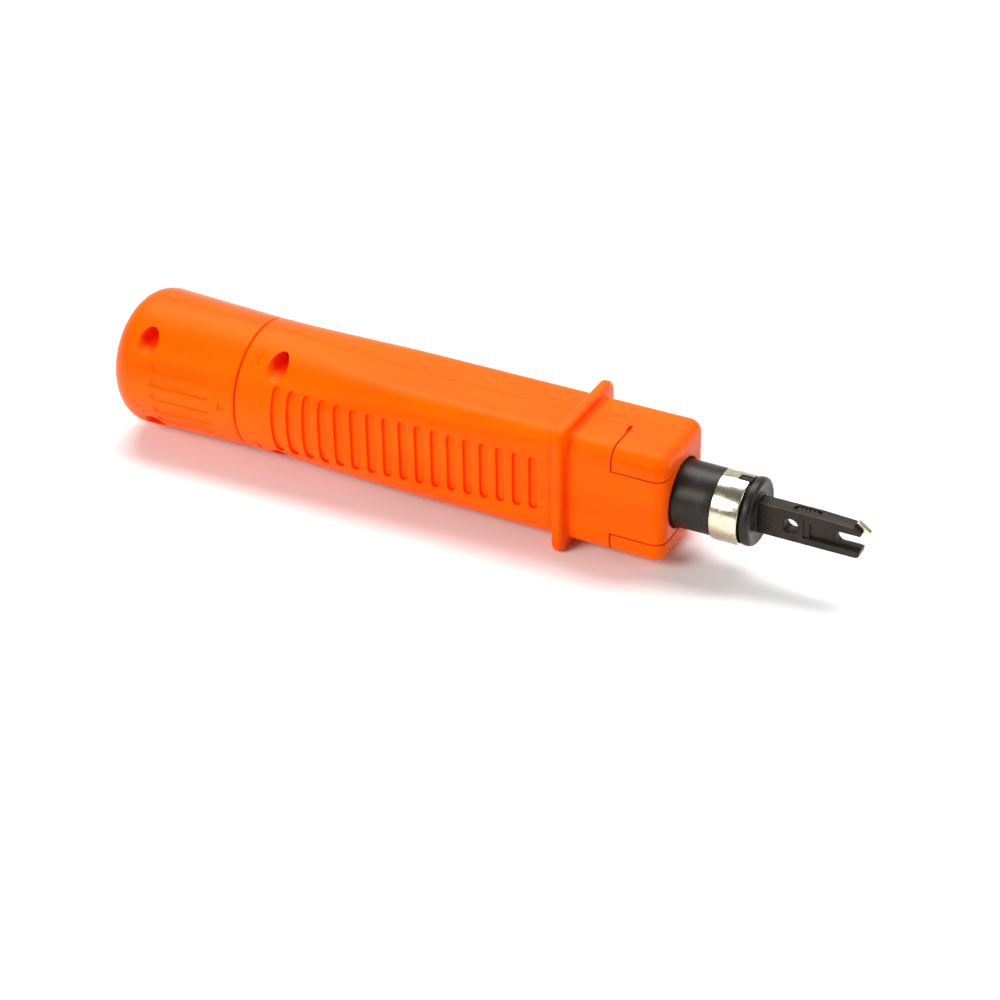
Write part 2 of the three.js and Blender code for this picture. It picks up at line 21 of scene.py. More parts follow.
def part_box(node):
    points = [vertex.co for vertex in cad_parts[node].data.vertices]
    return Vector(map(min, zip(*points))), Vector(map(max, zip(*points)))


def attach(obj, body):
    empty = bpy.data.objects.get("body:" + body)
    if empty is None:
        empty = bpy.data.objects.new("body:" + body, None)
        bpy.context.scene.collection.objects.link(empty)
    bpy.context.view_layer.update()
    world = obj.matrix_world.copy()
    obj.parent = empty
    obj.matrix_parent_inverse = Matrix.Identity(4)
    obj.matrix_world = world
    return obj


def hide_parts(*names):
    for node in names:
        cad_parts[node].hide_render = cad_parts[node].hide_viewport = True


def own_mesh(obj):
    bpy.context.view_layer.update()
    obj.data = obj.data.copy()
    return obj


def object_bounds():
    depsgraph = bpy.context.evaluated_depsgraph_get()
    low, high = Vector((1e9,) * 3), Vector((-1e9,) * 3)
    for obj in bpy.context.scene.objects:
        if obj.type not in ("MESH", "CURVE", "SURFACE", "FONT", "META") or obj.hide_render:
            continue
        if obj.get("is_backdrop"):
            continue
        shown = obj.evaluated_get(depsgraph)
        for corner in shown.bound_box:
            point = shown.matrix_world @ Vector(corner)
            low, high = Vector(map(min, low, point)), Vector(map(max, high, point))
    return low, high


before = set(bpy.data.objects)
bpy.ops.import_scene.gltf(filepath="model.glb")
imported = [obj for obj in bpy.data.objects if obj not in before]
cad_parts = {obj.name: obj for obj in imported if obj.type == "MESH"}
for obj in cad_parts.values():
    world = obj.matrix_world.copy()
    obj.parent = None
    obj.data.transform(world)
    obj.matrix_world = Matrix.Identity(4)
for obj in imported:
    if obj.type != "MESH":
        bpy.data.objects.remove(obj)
CAD_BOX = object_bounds()

MM = 0.001
LOG = logging.getLogger("punch_down_tool")

# In millimetres: a length past every side of the tool, how far each half keeps from the parting
# plane, half the width of a seam's groove, and the depth and rim of an engraved mark.
FAR = 20.0
SEAM_GAP = 0.05
SEAM_HALF = 0.13
MARK_DEPTH = 0.22
MARK_RIM = 0.06

Point = tuple[float, float]
Triple = tuple[float, float, float]
Placing = Callable[[float, float, float], Vector]
Inputs = dict[str | int, object]
Socket = bpy.types.NodeSocket


class Side(Enum):
    """The two halves that a casing is split into, with the sign of their Y."""

    LEFT = -1
    RIGHT = 1


class Slot(Enum):
    """The tool's material slots."""

    ORANGE = "orange_abs"
    BLACK = "black_acetal"
    ZINC = "zinc_steel"
    SPRING = "spring_steel"
    NICKEL = "nickel_plate"
    OXIDE = "black_oxide_steel"
    GROUND = "ground_tool_steel"


def linear(code: str, alpha: float = 1.0) -> tuple[float, float, float, float]:
    """Turns an sRGB hex colour into linear light.

    Args:
        code: six hex digits with a leading hash.
        alpha: opacity to put beside the colour.

    Returns:
        Red, green, blue and alpha in linear light.
    """
    parts = [int(code[i:i + 2], 16) / 255 for i in (1, 3, 5)]
    red, green, blue = (c / 12.92 if c <= 0.04045 else ((c + 0.055) / 1.055) ** 2.4 for c in parts)
    return red, green, blue, alpha


def lerp(a: float, b: float, t: float) -> float:
    """Value at share t between a and b."""
    return a + (b - a) * t


def smooth(t: float) -> float:
    """Ease in and out between 0 and 1."""
    s = min(max(t, 0.0), 1.0)
    return s * s * (3 - 2 * s)


def spaced(start: float, end: float, step: float) -> list[float]:
    """Evenly spaced values from start to end, about one step apart."""
    count = max(1, math.ceil(abs(end - start) / step))
    return [lerp(start, end, i / count) for i in range(count + 1)]


def quarter(steps: int) -> list[float]:
    """Angles from 0 to 90 degrees in equal steps, in radians."""
    return [math.pi / 2 * i / steps for i in range(steps + 1)]


def rounded(steps: int) -> list[Point]:
    """How far the points of an edge of radius 1 lie behind its end and under its side."""
    return [(1 - math.cos(a), 1 - math.sin(a)) for a in quarter(steps)]


# ---- Closed meshes from bmesh operators ----


@dataclass(frozen=True)
class ToolFrame:
    """Where the tool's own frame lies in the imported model's frame."""

    origin: Vector

    @classmethod
    def from_model(cls, nose_length: float) -> "ToolFrame":
        """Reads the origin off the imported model.

        Args:
            nose_length: how far the nose reaches ahead of the guard's face, in millimetres.

        Returns:
            The tool's frame.
        """
        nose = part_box("housing_left")[1].x
        low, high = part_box("plunger_tube")
        dial_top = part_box("dial_left")[1].z
        return cls(Vector((nose - nose_length * MM, (low.y + high.y) / 2, dial_top / 2)))

    def matrix(self) -> Matrix:
        """Millimetres of the tool's frame to metres of the model's."""
        return Matrix.Translation(self.origin) @ Matrix.Scale(MM, 4)

    def point(self, x: float, y: float, z: float) -> Vector:
        """A point of the tool's frame in the model's frame."""
        return self.matrix() @ Vector((x, y, z))


def scene_object(name: str, data: bpy.types.ID, matrix: Matrix) -> bpy.types.Object:
    """Puts an object with its data into the scene, where the matrix says."""
    obj = bpy.data.objects.new(name, data)
    obj.matrix_world = matrix
    bpy.context.scene.collection.objects.link(obj)
    return obj


def mesh_object(name: str, bm: BMesh, matrix: Matrix) -> bpy.types.Object:
    """Turns a bmesh into an object of the scene, and frees the bmesh."""
    mesh = bpy.data.meshes.new(name)
    bm.to_mesh(mesh)
    bm.free()
    return scene_object(name, mesh, matrix)


def face_outwards(bm: BMesh) -> None:
    """Turns all faces of a closed mesh outwards."""
    bmesh.ops.recalc_face_normals(bm, faces=bm.faces)
    if bm.calc_volume(signed=True) < 0:
        bmesh.ops.reverse_faces(bm, faces=bm.faces)


class Solid:
    """A closed mesh in the tool's own frame, with the cuts and joins that shape it."""

    def __init__(self, name: str, bm: BMesh) -> None:
        """Makes the object from a closed bmesh, with its faces outwards."""
        face_outwards(bm)
        self.obj = mesh_object(name, bm, Matrix())

    def opened(self) -> BMesh:
        """A bmesh of the mesh, for the caller to change and to free."""
        bm = bmesh.new()
        bm.from_mesh(self.obj.data)
        return bm

    def copy(self, name: str) -> "Solid":
        """An independent copy under another name."""
        return Solid(name, self.opened())

    def with_far_twin(self) -> list["Solid"]:
        """This cutter and a copy of it on the far side, half a turn about the axis."""
        return [self, self.copy(self.obj.name).rotate(180, "X")]

    def drop(self) -> None:
        """Takes a used cutter out of the file."""
        mesh = self.obj.data
        bpy.data.objects.remove(self.obj)
        bpy.data.meshes.remove(mesh)

    def _combine(self, others: Iterable["Solid"], operation: str) -> "Solid":
        """Runs one boolean operation with each of the others, and drops them."""
        tools = list(others)
        for tool in tools:
            step = self.obj.modifiers.new(operation, "BOOLEAN")
            step.operation = operation
            step.solver = "MANIFOLD"
            step.object = tool.obj
        bpy.context.view_layer.update()
        graph = bpy.context.evaluated_depsgraph_get()
        mesh = bpy.data.meshes.new_from_object(self.obj.evaluated_get(graph))
        old = self.obj.data
        self.obj.modifiers.clear()
        self.obj.data = mesh
        bpy.data.meshes.remove(old)
        for tool in tools:
            tool.drop()
        return self

    def cut(self, *others: "Solid") -> "Solid":
        """Takes the others away."""
        return self._combine(others, "DIFFERENCE")

    def join(self, *others: "Solid") -> "Solid":
        """Adds the others."""
        return self._combine(others, "UNION")

    def keep(self, *others: "Solid") -> "Solid":
        """Keeps what lies in the others too."""
        return self._combine(others, "INTERSECT")

    def rotate(self, degrees: float, axis: str) -> "Solid":
        """Turns the mesh about an axis of the tool's frame."""
        self.obj.data.transform(Matrix.Rotation(math.radians(degrees), 4, axis))
        return self

    def move(self, x: float = 0.0, y: float = 0.0, z: float = 0.0) -> "Solid":
        """Shifts the mesh."""
        self.obj.data.transform(Matrix.Translation((x, y, z)))
        return self


def box(name: str, x: Point, y: Point, z: Point) -> Solid:
    """A block between the given limits."""
    bm = bmesh.new()
    bmesh.ops.create_cube(bm, size=1)
    size = Vector((x[1] - x[0], y[1] - y[0], z[1] - z[0]))
    middle = Vector(((x[0] + x[1]) / 2, (y[0] + y[1]) / 2, (z[0] + z[1]) / 2))
    bmesh.ops.scale(bm, vec=size, verts=bm.verts)
    bmesh.ops.translate(bm, vec=middle, verts=bm.verts)
    return Solid(name, bm)


def turned(name: str, profile: Sequence[Point], steps: int = 96) -> Solid:
    """Spins a profile about the X axis.

    Args:
        name: name of the piece.
        profile: [x, radius] from the rear end to the front end; both ends close on the axis.
        steps: how many steps the full turn takes.

    Returns:
        The turned solid.
    """
    bm = bmesh.new()
    points = [(profile[0][0], 0.0), *profile, (profile[-1][0], 0.0)]
    verts = [bm.verts.new((x, 0, r)) for x, r in points]
    edges = [bm.edges.new(pair) for pair in zip(verts, verts[1:])]
    bmesh.ops.spin(bm, geom=verts + edges, cent=(0, 0, 0), axis=(1, 0, 0), dvec=(0, 0, 0),
                   angle=2 * math.pi, steps=steps, use_merge=True, use_duplicate=False)
    bmesh.ops.remove_doubles(bm, verts=bm.verts, dist=1e-4)
    return Solid(name, bm)


def cylinder(name: str, x: Point, r: float, steps: int = 64) -> Solid:
    """A cylinder along the X axis."""
    return turned(name, [(x[0], r), (x[1], r)], steps)


def cross_bar(name: str, x: float, z: float, r: float, y: Point, steps: int = 48) -> Solid:
    """A cylinder along Y at the given place."""
    return cylinder(name, y, r, steps).rotate(90, "Z").move(x=x, z=z)


def lofted(name: str, stations: Sequence[object], sides: int,
           place: Callable[[object, int], Vector]) -> Solid:
    """Extrudes a ring from station to station and closes both ends.

    Args:
        name: name of the piece.
        stations: what describes each ring, in order.
        sides: how many vertices a ring has.
        place: gives the position of one vertex of one station's ring.

    Returns:
        The lofted solid.
    """
    bm = bmesh.new()
    step = bm.verts.layers.int.new("step")
    bmesh.ops.create_circle(bm, cap_ends=False, radius=1, segments=sides)
    ring = list(bm.verts)
    edges = list(bm.edges)
    for index, vert in enumerate(ring):
        vert[step] = index
        vert.co = place(stations[0], index)
    for station in stations[1:]:
        grown = bmesh.ops.extrude_edge_only(bm, edges=edges)["geom"]
        ring = [item for item in grown if isinstance(item, BMVert)]
        fresh = set(ring)
        edges = [e for e in grown if isinstance(e, BMEdge) and set(e.verts) <= fresh]
        for vert in ring:
            vert.co = place(station, vert[step])
    bmesh.ops.holes_fill(bm, edges=[e for e in bm.edges if e.is_boundary], sides=0)
    return Solid(name, bm)


def plate(name: str, outline: Sequence[Point], y: Point, bevel: float = 0.0) -> Solid:
    """Extrudes a flat outline of the XZ plane along Y and rounds its edges."""
    bm = bmesh.new()
    face = bm.faces.new([bm.verts.new((x, y[0], z)) for x, z in outline])
    grown = bmesh.ops.extrude_face_region(bm, geom=[face])["geom"]
    moved = [item for item in grown if isinstance(item, BMVert)]
    bmesh.ops.translate(bm, vec=(0, y[1] - y[0], 0), verts=moved)
    if bevel:
        bmesh.ops.recalc_face_normals(bm, faces=bm.faces)
        bmesh.ops.bevel(bm, geom=list(bm.edges), offset=bevel, segments=3, profile=0.5,
                        material=-1, affect="EDGES", clamp_overlap=True)
    return Solid(name, bm)


def coil(name: str, x: Point, r: float, wire: float, turns: float, steps: int = 32) -> Solid:
    """A coil spring along X: a round section spun about the axis while it advances."""
    bm = bmesh.new()
    bmesh.ops.create_circle(bm, cap_ends=True, radius=wire, segments=12)
    upright = Matrix.Rotation(math.pi / 2, 3, "X")
    bmesh.ops.rotate(bm, cent=(0, 0, 0), matrix=upright, verts=bm.verts)
    bmesh.ops.translate(bm, vec=(x[0] + wire, 0, r), verts=bm.verts)
    total = round(turns * steps)
    advance = (x[1] - x[0] - 2 * wire) / total
    first = list(bm.faces)
    bmesh.ops.spin(bm, geom=first, cent=(0, 0, 0), axis=(1, 0, 0), dvec=(advance, 0, 0),
                   angle=2 * math.pi * turns, steps=total, use_duplicate=False)
    return Solid(name, bm)


def swept(name: str, path: Sequence[Vector], half: float) -> Solid:
    """A square bar on edge swept along a path, which cuts a V groove where it meets a skin."""
    def place(index: object, corner: int) -> Vector:
        here = int(index)
        ahead = path[min(here + 1, len(path) - 1)]
        behind = path[max(here - 1, 0)]
        along = (ahead - behind).normalized()
        across = along.cross(Vector((0.31, 0.52, 0.79))).normalized()
        upward = along.cross(across)
        angle = math.pi / 2 * corner
        return path[here] + (across * math.cos(angle) + upward * math.sin(angle)) * half

    return lofted(name, range(len(path)), 4, place)


def seam_cuts(path: Sequence[Vector]) -> list[Solid]:
    """V grooves along a path over the top and along its mirror image under the bottom."""
    below = [Vector((p.x, 0, -p.z)) for p in path]
    return [swept("seam", run, SEAM_HALF) for run in (path, below)]


def half_space(side: Side, x: Point) -> Solid:
    """The space on one side of the parting plane, short of it by the seam's gap."""
    low, high = sorted((side.value * SEAM_GAP, side.value * FAR))
    return box("half", x, (low, high), (-FAR, FAR))


# ---- Pockets that follow a skin ----


@dataclass(frozen=True)
class Outline:
    """A closed outline on a skin, round its own middle.

    Attributes:
        points: its corners, in millimetres.
        centre: where its middle lies on the skin.
        paired: corners k and -k face each other, so a floor can be split across.
    """

    points: tuple[Point, ...]
    centre: Point
    paired: bool = False

    @classmethod
    def obround(cls, centre: Point, half_u: float, half_v: float, steps: int = 6,
                runs: int = 10) -> "Outline":
        """A slot with round ends, long in whichever direction is larger.

        The corners run from the middle of one end up the one side and down the other, so that
        corners k and -k face each other across the slot.
        """
        r = min(half_u, half_v)
        reach = max(half_u, half_v) - r
        side = [(r * math.sin(a), -reach - r * math.cos(a)) for a in quarter(steps)]
        side += [(r, lerp(-reach, reach, i / runs)) for i in range(1, runs)]
        side += [(r * math.cos(a), reach + r * math.sin(a)) for a in quarter(steps)]
        points = side + [(-u, v) for u, v in reversed(side[1:-1])]
        if half_u > half_v:
            points = [(v, -u) for u, v in points]
        return cls(tuple(points), centre, True)

    @classmethod
    def circle(cls, centre: Point, r: float, steps: int = 48) -> "Outline":
        """A round outline."""
        turn = [math.tau * i / steps for i in range(steps)]
        return cls(tuple((r * math.cos(a), r * math.sin(a)) for a in turn), centre)

    def grown(self, index: int, outset: float) -> Point:
        """One corner, moved outwards along the mean of its two edges' normals."""
        count = len(self.points)
        before, here, after = (Vector(self.points[(index + k) % count]) for k in (-1, 0, 1))
        normal = Vector((0.0, 0.0))
        for edge in (here - before, after - here):
            if edge.length > 1e-6:
                normal += Vector((edge.y, -edge.x)).normalized()
        spot = here + normal.normalized() * outset
        return self.centre[0] + spot.x, self.centre[1] + spot.y


@dataclass(frozen=True)
class Pocket:
    """A pressed-in shape with a rounded rim that keeps to the skin it is cut in.

    Attributes:
        outline: its shape on the skin.
        depth: how deep it is, in millimetres.
        rim: radius of the rounded rim.
        floor_y: a flat floor at this Y instead of one that follows the skin.
        proud: how far the cutter stands out of the skin.
    """

    outline: Outline
    depth: float
    rim: float = 0.22
    floor_y: float | None = None
    proud: float = 4.0

    def levels(self) -> list[Point]:
        """Depth and outset of each ring, from outside the skin down to the floor."""
        arc = [(self.rim * c, self.rim * s) for c, s in rounded(4)]
        toe = min(self.rim, self.depth / 3)
        heel = [(self.depth - toe * s, -toe * c) for c, s in rounded(3)]
        return [(-self.proud, self.rim), *arc, *heel]

    def cutter(self, name: str, skin: Placing) -> Solid:
        """Builds the solid that is cut away.

        Args:
            name: name of the cutter.
            skin: gives the point of the skin at u, v, sunk by a depth.

        Returns:
            The cutter.
        """
        def place(level: object, index: int) -> Vector:
            depth, outset = level
            u, v = self.outline.grown(index, outset)
            if self.floor_y is not None and depth >= self.depth:
                return Vector((u, self.floor_y, v))
            return skin(u, v, depth)

        solid = lofted(name, self.levels(), len(self.outline.points), place)
        if self.outline.paired:
            self._split_floor(solid)
        return solid

    def _split_floor(self, solid: Solid) -> None:
        """Splits the floor across its short way, so that it bends with the skin."""
        bm = solid.opened()
        step = bm.verts.layers.int["step"]
        count = len(self.outline.points)
        floor = sorted(list(bm.verts)[-count:], key=lambda vert: vert[step])
        for k in range(1, count // 2):
            bmesh.ops.connect_vert_pair(bm, verts=[floor[k], floor[count - k]])
        face_outwards(bm)
        bm.to_mesh(solid.obj.data)
        bm.free()


# ---- Node materials ----


def add_node(tree: bpy.types.NodeTree, kind: str, inputs: Inputs | None = None,
             **settings: object) -> bpy.types.Node:
    """Adds a node with its settings and links.

    Args:
        tree: the node tree it goes into.
        kind: Blender's name of the node type.
        inputs: a value or a socket for each named or numbered input.
        settings: attributes of the node itself.

    Returns:
        The new node.
    """
    node = tree.nodes.new(kind)
    for key, value in settings.items():
        setattr(node, key, value)
    for key, value in (inputs or {}).items():
        if isinstance(value, Socket):
            tree.links.new(value, node.inputs[key])
        else:
            node.inputs[key].default_value = value
    return node


class Finish:
    """A procedural finish; subclasses say what its surface is."""

    title = "finish"

    def __init__(self) -> None:
        """Builds the node tree once."""
        self.material = bpy.data.materials.new(self.title)
        self.material.use_nodes = True
        self.tree = self.material.node_tree
        self.tree.nodes.clear()
        self.surface()

    def add(self, kind: str, inputs: Inputs | None = None, **settings: object) -> bpy.types.Node:
        """Adds a node to this finish."""
        return add_node(self.tree, kind, inputs, **settings)

    def maths(self, operation: str, first: object, second: object) -> Socket:
        """Two values put together by a maths operation."""
        return self.add("ShaderNodeMath", {0: first, 1: second}, operation=operation).outputs[0]

    def millimetres(self, stretch: Triple = (1, 1, 1)) -> Socket:
        """The piece's own coordinates in millimetres, stretched where a pattern runs one way."""
        place = self.add("ShaderNodeTexCoord")
        scale = tuple(s / MM for s in stretch)
        mapping = self.add("ShaderNodeMapping", {"Vector": place.outputs["Object"], "Scale": scale})
        return mapping.outputs["Vector"]

    def noise(self, where: Socket, size_mm: float, detail: float = 3.0,
              rough: float = 0.5) -> Socket:
        """Noise whose features measure about size_mm."""
        made = self.add("ShaderNodeTexNoise", {
            "Vector": where, "Scale": 1 / size_mm, "Detail": detail, "Roughness": rough})
        return made.outputs["Fac"]

    def remap(self, value: Socket, low: Point, high: Point) -> Socket:
        """Maps values between low[0] and high[0] to low[1] and high[1], and clamps them."""
        made = self.add("ShaderNodeMapRange",
                        {0: value, 1: low[0], 2: high[0], 3: low[1], 4: high[1]})
        return made.outputs["Result"]

    def mixed(self, share: Socket, first: object, second: object) -> Socket:
        """Two colours mixed by share."""
        made = self.add("ShaderNodeMix", {0: share, 6: first, 7: second}, data_type="RGBA")
        return made.outputs[2]

    def worn_edges(self, radius_mm: float) -> Socket:
        """1 on edges sharper than the radius, 0 on open faces."""
        soft = self.add("ShaderNodeBevel", {"Radius": radius_mm * MM}, samples=4)
        true = self.add("ShaderNodeNewGeometry")
        turn = self.add("ShaderNodeVectorMath",
                        {0: soft.outputs[0], 1: true.outputs["Normal"]}, operation="DOT_PRODUCT")
        return self.remap(turn.outputs["Value"], (0.90, 1.0), (0.995, 0.0))

    def painted_glow_mask(self, reach_mm: float) -> Socket:
        """Painted light mask: near 1 deep in wells and grooves, by ambient occlusion, standing in
        for light shining through the plastic there.
        """
        made = self.add("ShaderNodeAmbientOcclusion", {"Distance": reach_mm * MM},
                        samples=6, only_local=True)
        return self.remap(made.outputs["AO"], (0.45, 1.0), (0.78, 0.0))

    def bump(self, height: Socket, depth_mm: float, below: Socket | None = None) -> Socket:
        """A relief of that depth over an optional other one."""
        inputs: Inputs = {"Height": height, "Strength": 1.0, "Distance": depth_mm * MM}
        if below is not None:
            inputs["Normal"] = below
        return self.add("ShaderNodeBump", inputs).outputs["Normal"]

    def close(self, inputs: Inputs) -> None:
        """Ends the tree with the principled shader."""
        shader = self.add("ShaderNodeBsdfPrincipled", inputs)
        self.add("ShaderNodeOutputMaterial", {"Surface": shader.outputs["BSDF"]})

    def surface(self) -> None:
        """Builds the nodes; each finish has its own."""
        raise NotImplementedError


class MouldedAbs(Finish):
    """Orange ABS from a fine-eroded mould: satin, with flow marks, rubbed edges and painted red
    light glowing in its wells.
    """

    title = "moulded_orange_abs"
    body = "#FF5C00"
    flow = "#FF6600"
    shade = "#FC5200"
    rubbed = "#FF7A10"
    # Painted light: the red that wells and grooves are tinted with and emit.
    painted_nook_glow = "#FF0800"
    sheen = "#FF8A00"

    def surface(self) -> None:
        """Cloudy flow marks about 36 mm long, a grain of 0.35 mm, hairline scuffs and painted red
        light in wells.
        """
        where = self.millimetres()
        along = self.millimetres((0.25, 1, 1))
        cloud = self.noise(along, 9.0, 2.0)
        grain = self.noise(where, 0.35, 2.0, 0.6)
        scuffs = self.noise(self.millimetres((0.12, 2.2, 2.2)), 0.8, 4.0, 0.65)
        scuff = self.remap(scuffs, (0.62, 0.0), (0.72, 1.0))
        drift = self.remap(cloud, (0.35, 0.0), (0.65, 1.0))
        tone = self.mixed(drift, linear(self.shade), linear(self.flow))
        tone = self.mixed(self.remap(grain, (0.3, 0.35), (0.7, 0.65)), linear(self.body), tone)
        edge = self.worn_edges(0.35)
        tone = self.mixed(self.remap(edge, (0.0, 0.0), (1.0, 0.5)), tone, linear(self.rubbed))
        # Painted light: deep wells and grooves are tinted red, as light through the plastic would
        # make them.
        deep = self.painted_glow_mask(3.5)
        tone = self.mixed(deep, tone, linear(self.painted_nook_glow))
        rough = self.maths("ADD", self.remap(cloud, (0.3, 0.34), (0.7, 0.44)),
                           self.remap(scuff, (0, 0.0), (1, 0.10)))
        relief = self.bump(self.noise(where, 6.0, 1.0), 0.02)
        relief = self.bump(grain, 0.006, relief)
        # Painted light: the same mask makes the wells emit red light.
        painted_glow_strength = self.remap(deep, (0.5, 0.0), (1.0, 0.8))
        self.close({"Base Color": tone, "Roughness": rough, "Normal": relief, "IOR": 1.52,
                    "Specular IOR Level": 0.22, "Specular Tint": linear(self.sheen),
                    "Emission Color": linear(self.painted_nook_glow), "Emission Strength": painted_glow_strength})


class BlackAcetal(Finish):
    """Black acetal, turned and rubbed: dark satin with pale scuffs and specks."""

    title = "turned_black_acetal"
    body = "#1B1A18"
    scuffed = "#4E4A44"
    sheen = "#FFF4E6"

    def surface(self) -> None:
        """Rubbed streaks round the tube, specks of 0.3 mm and edges worn pale."""
        where = self.millimetres()
        streak = self.noise(self.millimetres((2.4, 0.35, 0.35)), 1.6, 5.0, 0.7)
        speck = self.noise(where, 0.3, 3.0, 0.6)
        patch = self.noise(where, 3.5, 3.0, 0.55)
        rubbed = self.maths("MULTIPLY", self.remap(streak, (0.5, 0.0), (0.75, 1.0)),
                            self.remap(patch, (0.42, 0.0), (0.68, 1.0)))
        marks = self.maths("MAXIMUM", rubbed, self.remap(speck, (0.62, 0.0), (0.74, 0.45)))
        edge = self.worn_edges(0.25)
        shown = self.maths("MAXIMUM", marks, self.remap(edge, (0.0, 0.0), (1.0, 0.55)))
        tone = self.mixed(shown, linear(self.body), linear(self.scuffed))
        rough = self.remap(marks, (0.0, 0.38), (1.0, 0.55))
        relief = self.bump(self.noise(where, 0.5, 4.0, 0.6), 0.012)
        self.close({"Base Color": tone, "Roughness": rough, "Normal": relief, "IOR": 1.48,
                    "Specular IOR Level": 0.32, "Specular Tint": linear(self.sheen)})


class MetalFinish(Finish):
    """A metal surface with a second tone in patches, fine marks along one way and worn edges."""

    bright = "#9A9C9E"
    dull = "#7D7F80"
    worn = "#B0B2B4"
    base_rough = 0.3
    patch_mm = 2.5
    grain_mm = 0.35
    stretch = (1.0, 1.0, 1.0)
    metallic = 1.0
    relief_mm = 0.006
    edge_mm = 0.2
    patch_limits = (0.4, 0.7)

    def surface(self) -> None:
        """Patches, directional grain and edges, in the sizes of the subclass."""
        where = self.millimetres()
        grain = self.noise(self.millimetres(self.stretch), self.grain_mm, 3.0, 0.6)
        patch = self.noise(where, self.patch_mm, 4.0, 0.6)
        low, high = self.patch_limits
        tone = self.mixed(self.remap(patch, (low, 0.0), (high, 1.0)),
                          linear(self.bright), linear(self.dull))
        edge = self.worn_edges(self.edge_mm)
        tone = self.mixed(self.remap(edge, (0.0, 0.0), (1.0, 0.7)), tone, linear(self.worn))
        spread = self.remap(patch, (0.3, self.base_rough - 0.04), (0.7, self.base_rough + 0.08))
        rough = self.maths("ADD", spread, self.remap(grain, (0.3, -0.03), (0.7, 0.05)))
        self.close({"Base Color": tone, "Roughness": rough, "Metallic": self.metallic,
                    "Normal": self.bump(grain, self.relief_mm)})


class NickelPlate(MetalFinish):
    """Nickel plate over a rolled ring: warm, bright, mottled where it was handled."""

    title = "bright_nickel_plate"
    bright = "#E6DCC4"
    dull = "#C9BE9F"
    worn = "#F4EDDA"
    base_rough = 0.17
    patch_mm = 1.1
    grain_mm = 0.5
    stretch = (1.6, 0.5, 0.5)
    relief_mm = 0.012
    patch_limits = (0.45, 0.75)


class BlackOxideSteel(MetalFinish):
    """Steel blackened in an oxide bath: dark brown, dry, paler where its edges rub."""

    title = "black_oxide_steel"
    bright = "#30271D"
    dull = "#231B14"
    worn = "#64584B"
    base_rough = 0.42
    patch_mm = 2.0
    grain_mm = 0.3
    metallic = 0.55
    relief_mm = 0.012
    edge_mm = 0.14


class GroundToolSteel(MetalFinish):
    """Tool steel ground bright: pale, with grinding lines along the edge."""

    title = "ground_tool_steel"
    bright = "#EFE6C6"
    dull = "#D6CBA6"
    worn = "#FFF8E0"
    base_rough = 0.24
    patch_mm = 0.9
    grain_mm = 0.18
    stretch = (0.4, 2.5, 0.4)
    relief_mm = 0.006


class ZincSteel(MetalFinish):
    """Zinc-plated steel: even grey with a faint spangle."""

    title = "zinc_plated_steel"
    bright = "#A7AAAC"
    dull = "#8C9093"
    worn = "#C4C6C8"
    base_rough = 0.34
    patch_mm = 1.4


class SpringSteel(MetalFinish):
    """Drawn spring wire: darker, oiled, with draw marks along it."""

    title = "drawn_spring_steel"
    bright = "#85888A"
    dull = "#66696B"
    worn = "#A0A3A5"
    base_rough = 0.28
    patch_mm = 0.8


class Finishes:
    """All finishes of the tool, by slot."""

    def __init__(self) -> None:
        """Builds each material once."""
        self.by_slot: dict[Slot, bpy.types.Material] = {
            Slot.ORANGE: MouldedAbs().material,
            Slot.BLACK: BlackAcetal().material,
            Slot.ZINC: ZincSteel().material,
            Slot.SPRING: SpringSteel().material,
            Slot.NICKEL: NickelPlate().material,
            Slot.OXIDE: BlackOxideSteel().material,
            Slot.GROUND: GroundToolSteel().material,
        }

    def dress(self, obj: bpy.types.Object, slot: Slot) -> None:
        """Puts the slot's material on every material slot of an object."""
        if not obj.material_slots:
            obj.data.materials.append(self.by_slot[slot])
        for place in obj.material_slots:
            place.material = self.by_slot[slot]


@dataclass
class Assembly:
    """What every sub-assembly shares: the tool's frame and the finishes."""

    place: ToolFrame
    finishes: Finishes

    def hand_over(self, solid: Solid, node: str, body: str, slot: Slot,
                  sharp_deg: float = 34.0) -> bpy.types.Object:
        """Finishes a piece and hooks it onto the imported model.

        Args:
            solid: the piece in the tool's own frame.
            node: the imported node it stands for.
            body: the body it rides on.
            slot: its finish.
            sharp_deg: edges that turn more than this stay crisp.

        Returns:
            The piece's object.
        """
        obj = solid.obj
        obj.data.transform(self.place.matrix())
        obj.data.shade_smooth()
        obj.data.set_sharp_from_angle(angle=math.radians(sharp_deg))
        self.finishes.dress(obj, slot)
        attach(obj, body)
        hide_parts(node)
        LOG.info("%s: %d faces, rides on %s", obj.name, len(obj.data.polygons), body)
        return obj

    def dress_nodes(self, slot: Slot, *nodes: str) -> None:
        """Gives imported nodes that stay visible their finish."""
        for node in nodes:
            self.finishes.dress(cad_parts[node], slot)
            LOG.info("%s keeps its packed shape", node)


# ---- Handle ----


